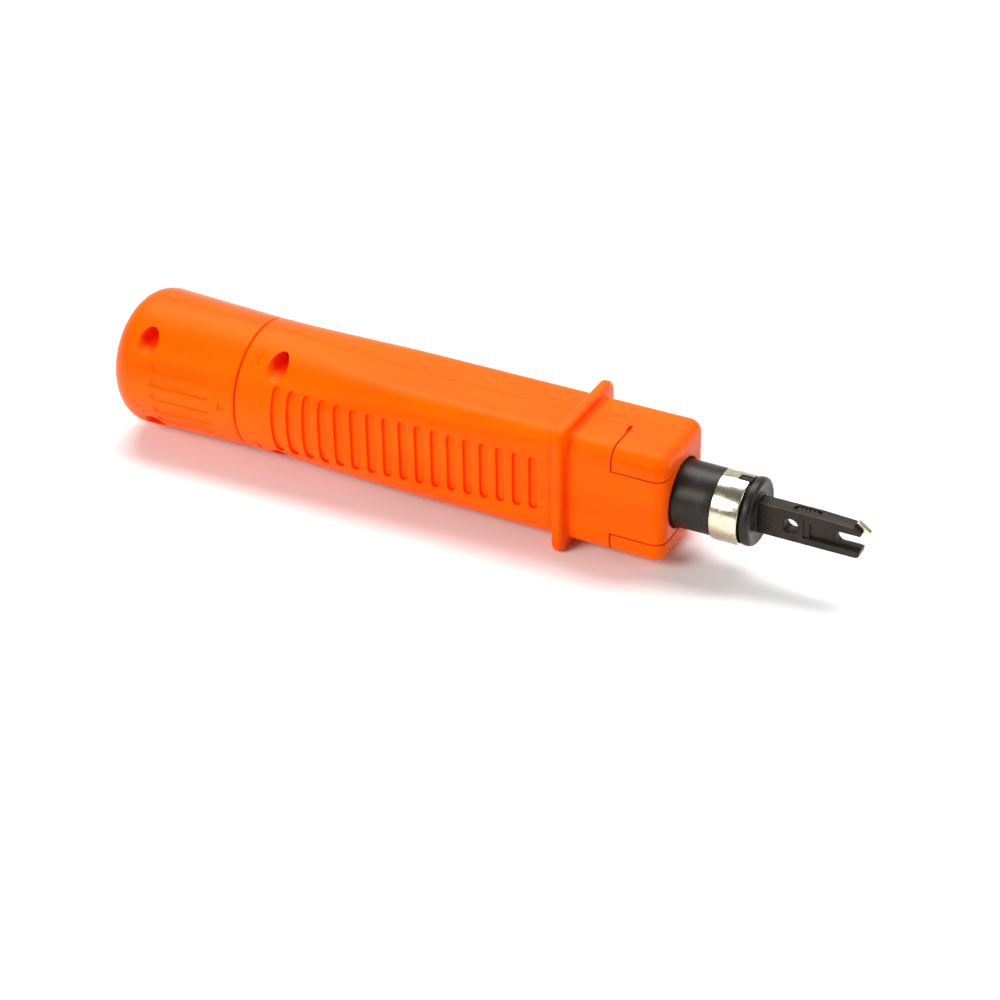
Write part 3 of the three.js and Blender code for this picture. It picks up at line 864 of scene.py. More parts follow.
@dataclass
class Screws:
    """The screws that draw two halves together along Y.

    Attributes:
        x: where the pair stands along the tool.
        z: height of the pair above and below the axis.
        well_r: radius of the well.
        mouth: depth and radius of the well's rounded mouth.
        head_y: where the well ends, just over the head.
        shank_r: radius of the pilot hole.
        head_bottom_y: where the pilot hole starts, under the head.
        tip_y: where the pilot hole ends, past the tip.
        boss_r: radius of the post that the screw goes through.
    """

    x: float
    z: float
    well_r: float = 2.4
    mouth: Point = (0.8, 0.25)
    head_y: float = -0.9
    shank_r: float = 1.5
    head_bottom_y: float = -2.7
    tip_y: float = 8.3
    boss_r: float = 3.4

    def posts(self, outside: Solid) -> Solid:
        """The round posts that the screws go through, as far as the outside reaches."""
        upper, lower = [cross_bar("boss", self.x, z, self.boss_r, (-FAR, FAR))
                        for z in (self.z, -self.z)]
        return upper.join(lower).keep(outside.copy("outside"))

    def holes(self, skin: Placing) -> list[Solid]:
        """Wells from the left with rounded mouths, and the pilots behind them."""
        reach = (self.head_bottom_y, self.tip_y)
        made = []
        for z in (self.z, -self.z):
            outline = Outline.circle((self.x, z), self.well_r)
            made.append(Pocket(outline, *self.mouth, self.head_y).cutter("well", skin))
            made.append(cross_bar("pilot", self.x, z, self.shank_r, reach, 24))
        return made


@dataclass
class Handle(Assembly):
    """The two orange halves of the handle with the hand guard, slots and nose joint."""

    nose_x: float = 22.4
    rear_x: float = -79.6
    half_w: float = 10.7
    half_h: float = 13.0
    corner_r: float = 3.3
    front_r: float = 2.8
    rear_edge_r: float = 0.35
    width_taper: float = 0.04
    height_taper: float = 0.003
    corner_taper: float = 0.067
    morph_x: Point = (-40.0, -79.0)
    rear_r: float = 14.9
    guard_x: Point = (-2.5, 0.0)
    guard_half: Point = (13.2, 15.2)
    guard_corner: float = 2.6
    guard_rim: float = 0.85
    guard_fillet: float = 0.7
    wall: float = 2.1
    rooms_x: tuple[Point, ...] = ((2.0, 19.6), (-14.0, -0.5), (-73.3, -16.0))
    bore_rear_x: float = -1.5
    bore_r: float = 7.8
    bore_edge: float = 0.3
    rod_bore_x: Point = (-17.0, -13.0)
    rod_bore_r: float = 3.3
    spindle_bore_x: Point = (-87.0, -72.3)
    spindle_bore_r: float = 3.9
    detent_bore_x: Point = (-87.0, -80.4)
    detent_bore_r: float = 1.7
    detent_y: float = -7.5
    neck_r: float = 10.0
    collar_x: Point = (-86.0, -84.0)
    collar_r: float = 11.5
    notch: Point = (10.5, 8.0)
    notch_gap: float = 0.45
    notch_slot: Point = (2.3, 0.45)
    front_line: Triple = (7.9, 9.164, 10.428)
    front_line_y: float = 0.5
    front_line_half: float = 0.12
    slot_count: int = 17
    slot_pitch: float = 3.857
    first_slot_x: float = -69.4
    slot_half_w: float = 0.98
    slot_half_h: float = 6.25
    slot_taper: float = 0.0285
    slot_depth: float = 0.7
    mark_x: float = -75.4
    mark_z: Point = (11.9, -8.6)
    plus_half: Point = (0.35, 1.2)
    minus_half: Point = (0.3, 1.1)
    corner_steps: int = 20
    corner_support: float = 1.2
    screws: Screws = field(default_factory=lambda: Screws(-70.8, 11.1))

    @property
    def sides(self) -> int:
        """Vertices round one ring: an arc and two support points a corner."""
        return 4 * (self.corner_steps + 3)

    def section(self, x: float, inset: float, towards_guard: float = 0.0) -> Triple:
        """Half width, half height and corner radius at x.

        Args:
            x: place along the tool.
            inset: how far inside the skin.
            towards_guard: 0 on the skin, 1 at the guard's rim.

        Returns:
            The rounded rectangle's half width, half height and corner radius.
        """
        back = max(0.0, -x)
        morph = smooth((x - self.morph_x[0]) / (self.morph_x[1] - self.morph_x[0]))
        half_w = lerp(self.half_w + self.width_taper * back, self.rear_r, morph)
        half_h = lerp(self.half_h + self.height_taper * back, self.rear_r, morph)
        corner = lerp(self.corner_r + self.corner_taper * back, self.rear_r, morph)
        half_w = lerp(half_w, self.guard_half[0], towards_guard) - inset
        half_h = lerp(half_h, self.guard_half[1], towards_guard) - inset
        corner = lerp(corner, self.guard_corner, towards_guard) - inset
        limit = min(half_w, half_h) - 0.15
        return half_w, half_h, min(max(corner, 0.6), limit)

    def ring_point(self, x: float, inset: float, guard: float, index: int, steps: int) -> Vector:
        """One vertex of a ring, counted from +Y round through +Z."""
        half_w, half_h, corner = self.section(x, inset, guard)
        per = steps + 3
        turn, k = divmod(index, per)
        sign_y = 1 if turn in (0, 3) else -1
        sign_z = 1 if turn < 2 else -1
        angle = (turn + min(max(k - 1, 0), steps) / steps) * math.pi / 2
        y = sign_y * (half_w - corner) + corner * math.cos(angle)
        z = sign_z * (half_h - corner) + corner * math.sin(angle)
        before, after = half_h - corner, half_w - corner
        if turn % 2:
            before, after = after, before
        tangent = Vector((-math.sin(angle), math.cos(angle)))
        if k == 0:
            y, z = Vector((y, z)) - tangent * min(self.corner_support, before * 0.4)
        elif k == per - 1:
            y, z = Vector((y, z)) + tangent * min(self.corner_support, after * 0.4)
        return Vector((x, y, z))

    def skin(self, x: float, z: float, depth: float) -> Vector:
        """The left side's skin at x and height z, sunk by depth."""
        half_w, half_h, corner = self.section(x, 0)
        over = max(0.0, abs(z) - (half_h - corner))
        y = half_w - corner + math.sqrt(max(corner * corner - over * over, 0.0))
        return Vector((x, -(y - depth), z))

    def top(self, x: float) -> float:
        """Height of the skin over the axis at x, the guard and the front edge included."""
        if self.guard_x[0] <= x <= self.guard_x[1]:
            return self.guard_half[1]
        sine = min(max((x - self.nose_x + self.front_r) / self.front_r, 0.0), 1.0)
        drop = self.front_r * (1 - math.sqrt(max(1 - sine * sine, 0.0)))
        return self.section(x, 0)[1] - drop

    def stations(self) -> list[Triple]:
        """x, inset and share towards the guard of every ring, from rear to front."""
        r, fillet, rim, end = self.rear_edge_r, self.guard_fillet, self.guard_rim, self.front_r
        back, front = self.guard_x
        proud = self.guard_half[1] - self.half_h
        rear = [(self.rear_x + r * c, r * s, 0.0) for c, s in rounded(4)]
        rise = [(back - fillet * s, 0.0, fillet / proud * c) for c, s in rounded(5)]
        rear_rim = [(back + rim * c, 0.0, 1 - rim / proud * s) for c, s in rounded(6)]
        guard = [*rise, *rear_rim]
        guard += [(-x + front + back, i, g) for x, i, g in reversed(guard)]
        arc = [(self.nose_x - end * s, end * c, 0.0) for c, s in rounded(10)]
        body, mid, nose = ([(x, 0.0, 0.0) for x in spaced(*limits)] for limits in (
            (self.rear_x + 1.2, self.morph_x[0], 1.6),
            (self.morph_x[0] + 3, back - fillet - 1.5, 6),
            (front + fillet + 1.2, self.nose_x - end - 0.8, 5),
        ))
        return [*rear, *body, *mid, *guard, *nose, *arc]

    def loft(self, name: str, stations: Sequence[Triple], steps: int) -> Solid:
        """A solid through rounded rectangles."""
        return lofted(name, stations, 4 * (steps + 3),
                      lambda s, i: self.ring_point(*s, i, steps))

    def rooms(self) -> list[Solid]:
        """What is hollow inside: three rooms and the bores between them."""
        rooms = [self.loft("room", [(x, self.wall, 0.0) for x in spaced(a, b, 4)], 6)
                 for a, b in self.rooms_x]
        r, e = self.bore_r, self.bore_edge
        lip = [(self.nose_x - e * s, r + e * c) for c, s in rounded(4)]
        plunger = turned("bore", [(self.bore_rear_x, r), *lip, (self.nose_x + 1, r + e)])
        rod = cylinder("bore", self.rod_bore_x, self.rod_bore_r)
        spindle = cylinder("bore", self.spindle_bore_x, self.spindle_bore_r)
        detent = cylinder("bore", self.detent_bore_x, self.detent_bore_r, 24)
        return [*rooms, plunger, rod, spindle, detent.move(y=self.detent_y)]

    def neck(self) -> Solid:
        """The neck with its collar, on which the dial turns."""
        rear, front = self.collar_x
        return turned("neck", [(rear, self.collar_r), (front, self.collar_r),
                               (front, self.neck_r), (self.rear_x + 1, self.neck_r)])

    def slots(self) -> list[Solid]:
        """The finger slots of both sides."""
        made = []
        for i in range(self.slot_count):
            x = self.first_slot_x + i * self.slot_pitch
            half_h = self.slot_half_h - self.slot_taper * x
            shape = Outline.obround((x, 0.0), self.slot_half_w, half_h)
            made += Pocket(shape, self.slot_depth).cutter("slot", self.skin).with_far_twin()
        return made

    def marks(self) -> list[Solid]:
        """A plus above and a minus below, for more and less force."""
        a, b = self.plus_half
        plus = ((-a, -b), (a, -b), (a, -a), (b, -a), (b, a), (a, a),
                (a, b), (-a, b), (-a, a), (-b, a), (-b, -a), (-a, -a))
        a, b = self.minus_half
        minus = ((-a, -b), (a, -b), (a, b), (-a, b))
        shapes = [Outline(points, (self.mark_x, z))
                  for points, z in zip((plus, minus), self.mark_z)]
        return [Pocket(shape, MARK_DEPTH, MARK_RIM).cutter("mark", self.skin) for shape in shapes]

    def seam_groove(self) -> list[Solid]:
        """The fine V along the parting line, over the top and under the bottom."""
        xs = [x for x, _, _ in self.stations() if x <= self.notch[0]]
        edge = sorted({round(x, 3) for x in xs} | {self.notch[0]})
        before = [Vector((x, 0, self.top(x))) for x in edge if x < self.guard_x[0]]
        after = [Vector((x, 0, self.top(x))) for x in edge if x > self.guard_x[1]]
        return [*seam_cuts(before), *seam_cuts(after)]

    def front_lines(self) -> list[Solid]:
        """The short upright lines on the front face, over and under the plunger."""
        x, y = self.nose_x, self.front_line_y
        return [swept("line", [Vector((x, y, sign * z)) for z in self.front_line],
                      self.front_line_half) for sign in (1, -1)]

    def corner_blocks(self, clearance: float) -> list[Solid]:
        """The blocks above and below the nose joint, which belong to the right half."""
        x = (self.notch[0] - clearance, self.nose_x + 1)
        z = self.notch[1] - clearance
        return [box("block", x, (-FAR, 1), (z, FAR)), box("block", x, (-FAR, 1), (-FAR, -z))]

    def notch_ends(self) -> list[Solid]:
        """The wider slots where the joint line meets the parting line, above and below."""
        length, width = self.notch_slot
        x = (self.notch[0] - self.notch_gap - width, self.notch[0] + 0.05)
        low, high = self.half_h - 1, self.half_h + 2
        return [box("slot", x, (-length, 0), z) for z in ((low, high), (-high, -low))]

    def build(self) -> None:
        """Builds both halves and hands them over."""
        outside = self.loft("outside", self.stations(), self.corner_steps)
        posts = self.screws.posts(outside)
        whole = outside.join(self.neck()).cut(*self.rooms()).join(posts)
        whole.cut(*self.screws.holes(self.skin), *self.slots(), *self.marks(),
                  *self.seam_groove())
        whole.cut(*self.front_lines())
        reach = (self.rear_x - 8, self.nose_x + 2)
        left = whole.copy("housing_left_shell").keep(half_space(Side.LEFT, reach))
        left.cut(*self.corner_blocks(self.notch_gap), *self.notch_ends())
        whole.obj.name = "housing_right_shell"
        blocks = self.corner_blocks(0)
        right = whole.keep(half_space(Side.RIGHT, reach).join(*blocks))
        self.hand_over(left, "housing_left", "housing", Slot.ORANGE)
        self.hand_over(right, "housing_right", "housing", Slot.ORANGE)
        self.dress_nodes(Slot.ZINC, "housing_screw_upper", "housing_screw_lower",
                         "thrust_washer", "dial_detent_ball")
        self.dress_nodes(Slot.SPRING, "dial_detent_spring")


# ---- Dial ----


@dataclass
class Dial(Assembly):
    """The two halves of the turning rear cap."""

    front_x: float = -80.0
    wide_x: float = -107.5
    end_x: float = -113.6
    front_r: float = 14.9
    wide_r: float = 15.8
    end_r: float = 9.0
    wall: float = 2.3
    web: Point = (-90.5, -86.6)
    groove: Point = (-101.3, -86.4)
    groove_half_w: float = 1.0
    groove_step_deg: float = 13.2
    groove_middle_deg: float = -3.4
    groove_depth: float = 0.28
    groove_rim: float = 0.3
    pointer_at: Point = (-83.15, 0.6)
    pointer_size: Triple = (0.95, 0.85, 1.1)
    square_half: float = 4.1
    neck_room_x: Point = (-85.0, -79.0)
    neck_room_r: float = 10.3
    collar_room_front_x: float = -83.7
    collar_room_r: float = 11.8
    track_x: Point = (-87.4, -85.6)
    track_r: Point = (5.6, 9.4)
    edge_r: float = 0.4
    screws: Screws = field(default_factory=lambda: Screws(-103.6, 10.5))

    def radius(self, x: float) -> float:
        """Outer radius at x on the straight flank, the rounded end included."""
        if x < self.wide_x:
            cosine = min((self.wide_x - x) / (self.wide_x - self.end_x), 1.0)
            drop = 1 - math.sqrt(1 - cosine * cosine)
            return self.wide_r - (self.wide_r - self.end_r) * drop
        return lerp(self.wide_r, self.front_r, (x - self.wide_x) / (self.front_x - self.wide_x))

    def profile(self, inset: float) -> list[Point]:
        """Rounded end, straight flank and rounded front edge, from rear to front."""
        axial = self.wide_x - self.end_x - inset
        radial = self.wide_r - self.end_r - inset / 2
        end = [(self.wide_x - axial * math.cos(a), self.wide_r - inset - radial * (1 - math.sin(a)))
               for a in quarter(14)]
        flank = [(x, self.radius(x) - inset) for x in spaced(self.wide_x + 2, self.front_x - 2, 3)]
        r = self.edge_r
        front = [(self.front_x - r * s, self.front_r - inset - r * c) for c, s in rounded(4)]
        return [*end, *flank, *front]

    def side_skin(self, x: float, z: float, depth: float) -> Vector:
        """The left flank at x and height z, sunk along Y."""
        r = self.radius(x)
        return Vector((x, -(math.sqrt(max(r * r - z * z, 0.0)) - depth), z))

    def round_skin(self, x: float, arc: float, depth: float) -> Vector:
        """The left flank at x and an arc length above the middle, sunk towards the axis."""
        angle = arc / self.wide_r
        r = self.radius(x) - depth
        return Vector((x, -r * math.cos(angle), r * math.sin(angle)))

    def grooves(self) -> list[Solid]:
        """Five grip grooves on each side."""
        middle = (self.groove[0] + self.groove[1]) / 2
        half = (self.groove[1] - self.groove[0]) / 2
        made = []
        for step in range(-2, 3):
            arc = math.radians(step * self.groove_step_deg + self.groove_middle_deg) * self.wide_r
            shape = Outline.obround((middle, arc), half, self.groove_half_w)
            pocket = Pocket(shape, self.groove_depth, self.groove_rim)
            made += pocket.cutter("groove", self.round_skin).with_far_twin()
        return made

    def pointer(self) -> Solid:
        """The small triangle that points at the handle's marks."""
        front, rear, half = self.pointer_size
        shape = Outline(((front, 0.0), (-rear, half), (-rear, -half)), self.pointer_at)
        return Pocket(shape, MARK_DEPTH, MARK_RIM).cutter("pointer", self.round_skin)

    def hollows(self) -> list[Solid]:
        """The rooms and bores inside the dial."""
        inner = [(x, r) for x, r in self.profile(self.wall) if x < self.web[0] - 0.5]
        inner.append((self.web[0], self.radius(self.web[0]) - self.wall))
        post_r, track_r = self.track_r
        post = cylinder("post", (self.track_x[0] - 1, self.track_x[1] + 1), post_r)
        track = cylinder("track", self.track_x, track_r).cut(post)
        reach = (-self.square_half, self.square_half)
        return [
            turned("room", inner),
            cylinder("neck_room", self.neck_room_x, self.neck_room_r),
            cylinder("collar_room", (self.web[1], self.collar_room_front_x), self.collar_room_r),
            track,
            box("square", (self.web[0] - 1, self.web[1] + 1), reach, reach),
        ]

    def seam_groove(self) -> list[Solid]:
        """The fine V along the parting line, all the way round."""
        return seam_cuts([Vector((x, 0, r)) for x, r in self.profile(0)])

    def build(self) -> None:
        """Builds both halves and hands them over."""
        outside = turned("outside", self.profile(0), 144)
        posts = self.screws.posts(outside)
        whole = outside.cut(*self.hollows()).join(posts)
        whole.cut(*self.screws.holes(self.side_skin), *self.grooves(), self.pointer(),
                  *self.seam_groove())
        for side, half in ((Side.LEFT, whole.copy("dial_left_shell")), (Side.RIGHT, whole)):
            node = f"dial_{side.name.lower()}"
            half.obj.name = f"{node}_shell"
            half.keep(half_space(side, (self.end_x - 1, self.front_x + 1)))
            self.hand_over(half, node, "dial", Slot.ORANGE)
        self.dress_nodes(Slot.ZINC, "dial_screw_upper", "dial_screw_lower", "preload_spindle")
        self.dress_nodes(Slot.BLACK, "preload_nut")


# ---- Plunger ----


@dataclass
class Plunger(Assembly):
    """The black tube, its nickel ring and the rotor that holds the blade."""

    rear_x: float = 6.0
    front_x: float = 37.7
    r: float = 7.5
    front_r: float = 7.35
    seat_r: float = 6.7
    bore_r: float = 5.6
    rod_bore_r: float = 3.3
    edge: float = 0.25
    pin_x: float = 13.8
    pin_r: float = 1.3
    key_half_w: float = 0.7
    collar_x: Point = (17.0, 19.3)
    collar_r: float = 8.5
    web_x: Point = (12.0, 15.6)
    ring_x: Point = (31.25, 37.45)
    ring_r: float = 7.75
    ring_bore_r: float = 7.15
    ring_edge: float = 0.22
    ring_drop: float = -0.2
    notch_x: float = 34.9
    notch_half_w: float = 1.1
    notch_corner: float = 0.3
    disc_x: Point = (37.9, 40.0)
    disc_r: float = 7.5
    disc_rear_edge: float = 0.5
    disc_front_edge: float = 1.0
    barrel_r: float = 5.3
    barrel_x: float = 21.4
    lip_half: Point = (2.75, 4.75)
    socket_half: Point = (1.95, 4.0)
    ball_x: float = 27.0
    ball_pocket_r: float = 1.2

    def tube(self) -> Solid:
        """The tube with its rear collar, ring seat, bores and the key at its front."""
        edge, front_r = self.edge, self.front_r
        step_x = self.ring_x[0] - 0.12
        body = turned("plunger_tube_fine", [
            (self.rear_x, self.r - edge), (self.rear_x + edge, self.r),
            (self.collar_x[0], self.r), (self.collar_x[0], self.collar_r),
            (self.collar_x[1], self.collar_r), (self.collar_x[1], self.r),
            (step_x - 2, front_r), (step_x - edge, front_r), (step_x - 0.07, front_r - 0.07),
            (step_x, front_r - edge), (step_x, self.seat_r), (self.front_x, self.seat_r),
        ])
        key = box("key", (self.notch_x + 0.3, self.front_x), (-self.key_half_w, self.key_half_w),
                  (self.seat_r - 0.5, self.r - 0.05))
        bores = [
            cylinder("bore", (self.web_x[1], self.front_x + 1), self.bore_r),
            cylinder("bore", (self.rear_x - 1, self.web_x[0]), self.bore_r),
            cylinder("bore", (self.rear_x, self.front_x), self.rod_bore_r),
            cross_bar("pin_bore", self.pin_x, 0, self.pin_r, (-9, 9), 24),
        ]
        return body.join(key).cut(*bores)

    def ring(self) -> Solid:
        """The rolled ring with its key notch and softened rims; it hangs loose on its seat."""
        a, b = self.ring_x
        r, e = self.ring_r, self.ring_edge
        rear = [(a + e * c, r - e * s) for c, s in rounded(4)]
        front = [(b - e * s, r - e * c) for c, s in rounded(4)]
        ring = turned("collar_ring_fine", [*rear, *front], 144)
        x, w, k = self.notch_x, self.notch_half_w, self.notch_corner
        notch = plate("notch", [
            (x, -w + k), (x + k, -w), (b + 1, -w), (b + 1, w), (x + k, w), (x, w - k),
        ], (0, r + 1)).rotate(90, "X")
        bore = cylinder("bore", (a - 1, b + 1), self.ring_bore_r)
        return ring.cut(bore, notch).move(z=self.ring_drop)

    def rotor(self) -> Solid:
        """The front disc with rounded rims and a raised lip round the blade."""
        a, b = self.disc_x
        r, behind, ahead = self.disc_r, self.disc_rear_edge, self.disc_front_edge
        rear = [(a + behind * c, r - behind * s) for c, s in rounded(5)]
        front = [(b - ahead * s, r - ahead * c) for c, s in rounded(8)]
        face = [(b - 0.1, r - 1.5), (b - 0.25, r - 2.1)]
        barrel = [(self.barrel_x, self.barrel_r), (a, self.barrel_r)]
        body = turned("lock_rotor_fine", [*barrel, *rear, *front, *face])
        lip = Outline.obround((0.0, 0.0), *self.lip_half)
        levels = [(b - 1, 0.0), (b - 0.18, 0.0), (b - 0.04, -0.08), (b, -0.25)]
        raised = lofted("lip", levels, len(lip.points),
                        lambda s, i: Vector((s[0], *lip.grown(i, s[1]))))
        y, z = self.socket_half
        socket = box("socket", (self.barrel_x - 1, b + 1), (-y, y), (-z, z))
        reach = (-self.barrel_r + 0.8, 0)
        pocket = cross_bar("ball_pocket", self.ball_x, 0, self.ball_pocket_r, reach, 24)
        return body.join(raised).cut(socket, pocket)

    def build(self) -> None:
        """Builds the three turned pieces and dresses what sits inside them."""
        self.hand_over(self.tube(), "plunger_tube", "plunger", Slot.BLACK)
        self.hand_over(self.ring(), "collar_ring", "plunger", Slot.NICKEL)
        self.hand_over(self.rotor(), "lock_rotor", "rotor", Slot.BLACK)
        self.dress_nodes(Slot.ZINC, "striker_rod", "striker_cross_pin", "blade_ball", "hammer",
                         "latch_plate")
        self.dress_nodes(Slot.SPRING, "rotor_clip", "blade_ball_spring")


@dataclass
class Springs(Assembly):
    """The three coil springs of the tool.

    A coil is given by its radius, its wire's radius and its turns.
    """

    return_x: Point = (-13.7, 11.7)
    return_coil: Triple = (4.5, 0.5, 8)
    hammer_x: Point = (-63.3, -46.3)
    hammer_coil: Triple = (5.6, 0.6, 6)
    latch_z: Point = (-7.1, -4.8)
    latch_coil: Triple = (1.0, 0.2, 4)
    latch_x: float = -28.7
    stroke: float = 9.0
    hammer_stroke: float = 9.1
    latch_stroke: float = 1.4
    sharp_deg: float = 60.0

    def along_tool(self, node: str, solid: Solid, x: Point, joint: str, stroke: float) -> None:
        """Hands over a spring on the tool's axis and gives it a mesh of its own."""
        spring = self.hand_over(solid, node, "housing", Slot.SPRING, self.sharp_deg)
        anchor = tuple(self.place.point(x[0], 0, 0))
        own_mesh(spring)

    def build(self) -> None:
        """Builds the springs and hands them over."""
        wide = coil("return_spring_fine", self.return_x, *self.return_coil)
        self.along_tool("return_spring", wide, self.return_x, "plunger_slide", self.stroke)
        strong = coil("hammer_spring_fine", self.hammer_x, *self.hammer_coil)
        self.along_tool("hammer_spring", strong, self.hammer_x, "hammer_slide", self.hammer_stroke)
        low, high = self.latch_z
        small = coil("latch_spring_fine", self.latch_z, *self.latch_coil)
        upright = small.rotate(-90, "Y").move(x=self.latch_x)
        spring = self.hand_over(upright, "latch_spring", "hammer", Slot.SPRING, self.sharp_deg)
        anchor = tuple(self.place.point(self.latch_x, 0, low))
        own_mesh(spring)


# ---- Blade ----


@dataclass
class Blade(Assembly):
    """The reversible blade with its fork and the bright cutter at its tip."""

    rear_x: float = 20.2
    tip_x: float = 62.4
    half_y: float = 1.72
    top: float = 3.5
    bottom: float = -3.9
    fork_x: float = 57.0
    fork_z: float = -0.2
    fork_r: float = 1.35
    bevel: float = 0.14
    hole: Triple = (47.05, -0.35, 1.7)
    hole_edge: float = 0.2
    ring_mark: Triple = (42.4, -0.97, 1.45)
    ring_depth: float = 0.14
    ring_width: float = 0.28
    dot_r: float = 0.4
    recess_x: float = 50.2
    recess_half: Point = (3.1, 1.15)
    recess_depth: float = 0.6
    recess_rim: float = 0.1
    relief_depths: Point = (0.5, 1.1)
    relief_rim: float = 0.12
    rib_count: int = 5
    rib_pitch: float = 0.9
    first_rib_x: float = 48.4
    rib_half: Point = (0.22, 1.1)
    rib_slant_deg: float = 18.0
    detent_x: Point = (0.0, 27.8)
    detent_half_z: float = 0.9
    detent_depth: float = 0.5
    cutter_y: Point = (0.0, 1.25)
    sharp_deg: float = 28.0

    def bar(self) -> Solid:
        """The bar with its shoulder and bevelled edges."""
        rear, tip, low, top = self.rear_x, self.tip_x, self.bottom, self.top
        fork_low, fork_high = self.fork_z - self.fork_r, self.fork_z + self.fork_r
        outline = [
            (rear, low + 0.3), (rear + 0.6, low), (tip - 0.7, low), (tip - 0.1, low + 0.5),
            (tip, fork_low - 0.3), (tip - 0.3, fork_low),
            (tip - 0.3, fork_high), (tip - 0.1, fork_high + 0.3),
            (tip - 0.1, 1.85), (60.45, 3.1), (60.2, 3.15), (53.0, top),
            (rear + 0.6, top), (rear, top - 0.3),
        ]
        return plate("blade_body_fine", outline, (-self.half_y, self.half_y), self.bevel)

    def fork(self) -> list[Solid]:
        """What is taken out between the two arms."""
        z, r = self.fork_z, self.fork_r
        x = self.fork_x + r
        return [cross_bar("fork", x, z, r, (-3, 3)),
                box("fork", (x, self.tip_x + 1), (-3, 3), (z - r, z + r))]

    def side(self, u: float, v: float, depth: float) -> Vector:
        """The left face at u along the tool and height v."""
        return Vector((u, -(self.half_y - depth), v))

    def crown(self, u: float, v: float, depth: float) -> Vector:
        """The upper edge at u along the tool and v across."""
        return Vector((u, -v, self.top - depth))

    def side_relief(self) -> list[Solid]:
        """The hollows towards the tip: a step, and a deeper one that leaves rails beside it."""
        step = ((49.9, -2.35), (64.0, -2.35), (64.0, 1.9), (60.0, 2.2), (52.6, 2.35), (49.8, 1.9))
        deep = ((51.2, -2.2), (64.0, -2.2), (64.0, 1.2), (51.0, 1.2))
        made = []
        for points, depth in zip((step, deep), self.relief_depths):
            outline = Outline(points, (0.0, 0.0))
            near = Pocket(outline, depth, self.relief_rim).cutter("relief", self.side)
            made += [near, self.other_side(near)]
        return made

    @staticmethod
    def other_side(near: Solid) -> Solid:
        """The same cutter on the right face."""
        bm = near.opened()
        bmesh.ops.scale(bm, vec=(1, -1, 1), verts=bm.verts)
        return Solid("relief", bm)

    def ring_cut(self) -> list[Solid]:
        """A plain engraved ring with a dot, on both faces."""
        x, z, r = self.ring_mark
        face, floor = self.half_y + 1, self.half_y - self.ring_depth
        made = []
        for y in ((-face, -floor), (floor, face)):
            core = cross_bar("core", x, z, r - self.ring_width, (-4, 4))
            made.append(cross_bar("ring", x, z, r, y).cut(core))
            made.append(cross_bar("dot", x, z, self.dot_r, y, 24))
        return made

    def hole_cut(self) -> Solid:
        """The through hole with broken edges."""
        x, z, r = self.hole
        y, e = self.half_y, self.hole_edge
        profile = [(-y - 1, r + e), (-y, r + e), (-y + e, r),
                   (y - e, r), (y, r + e), (y + 1, r + e)]
        return turned("hole", profile, 64).rotate(90, "Z").move(x=x, z=z)

    def crown_recess(self) -> Solid:
        """The hollow in the upper edge; ribs stand in it."""
        shape = Outline.obround((self.recess_x, 0.0), *self.recess_half)
        return Pocket(shape, self.recess_depth, self.recess_rim).cutter("recess", self.crown)

    def ribs(self) -> list[Solid]:
        """Slanting ribs across the hollow."""
        x, y = self.rib_half
        made = []
        for i in range(self.rib_count):
            rib = box("rib", (-x, x), (-y, y), (self.top - 1.0, self.top - 0.22))
            along = self.first_rib_x + self.rib_pitch * i
            made.append(rib.rotate(self.rib_slant_deg, "Z").move(x=along))
        return made

    def cutter(self) -> Solid:
        """The bright edge that stands on the upper arm."""
        outline = [(60.5, 3.15), (60.8, 3.05), (62.9, 1.5), (63.7, 1.3), (63.9, 1.9), (61.2, 3.85),
                   (60.9, 3.75)]
        return plate("blade_cutter_fine", outline, self.cutter_y, self.bevel / 2)

    def build(self) -> None:
        """Builds the bar and its cutter."""
        bar = self.bar()
        bar.cut(*self.fork(), *self.side_relief(), *self.ring_cut(), self.hole_cut())
        bar.cut(self.crown_recess()).join(*self.ribs())
        face, half_z = -self.half_y, self.detent_half_z
        reach = (face - 1, face + self.detent_depth)
        bar.cut(box("detent", self.detent_x, reach, (-half_z, half_z)))
        self.hand_over(bar, "blade_body", "blade", Slot.OXIDE, self.sharp_deg)
        self.hand_over(self.cutter(), "blade_cutter", "blade", Slot.GROUND, self.sharp_deg)


# ---- Studio ----


class StudioPaper(Finish):
    """White paper sweep: matt, very faintly mottled."""

    title = "white_studio_paper"
    white = "#FFFFFF"
    cool = "#F8F8FA"

    def surface(self) -> None:
        """A slow drift in tone and a fine tooth; far from the tool it emits painted light in place
        of lamps behind.
        """
        where = self.millimetres()
        drift = self.noise(where, 120.0, 2.0)
        tone = self.mixed(drift, linear(self.cool), linear(self.white))
        # Painted light: emission that grows with distance from the tool brightens the far paper.
        away = self.add("ShaderNodeVectorMath", {0: where}, operation="LENGTH").outputs["Value"]
        self.close({"Base Color": tone, "Roughness": 0.75, "Specular IOR Level": 0.2,
                    "Normal": self.bump(self.noise(where, 0.8), 0.01),
                    "Emission Color": linear(self.white),
                    "Emission Strength": self.remap(away, (600.0, 0.0), (1500.0, 0.9))})


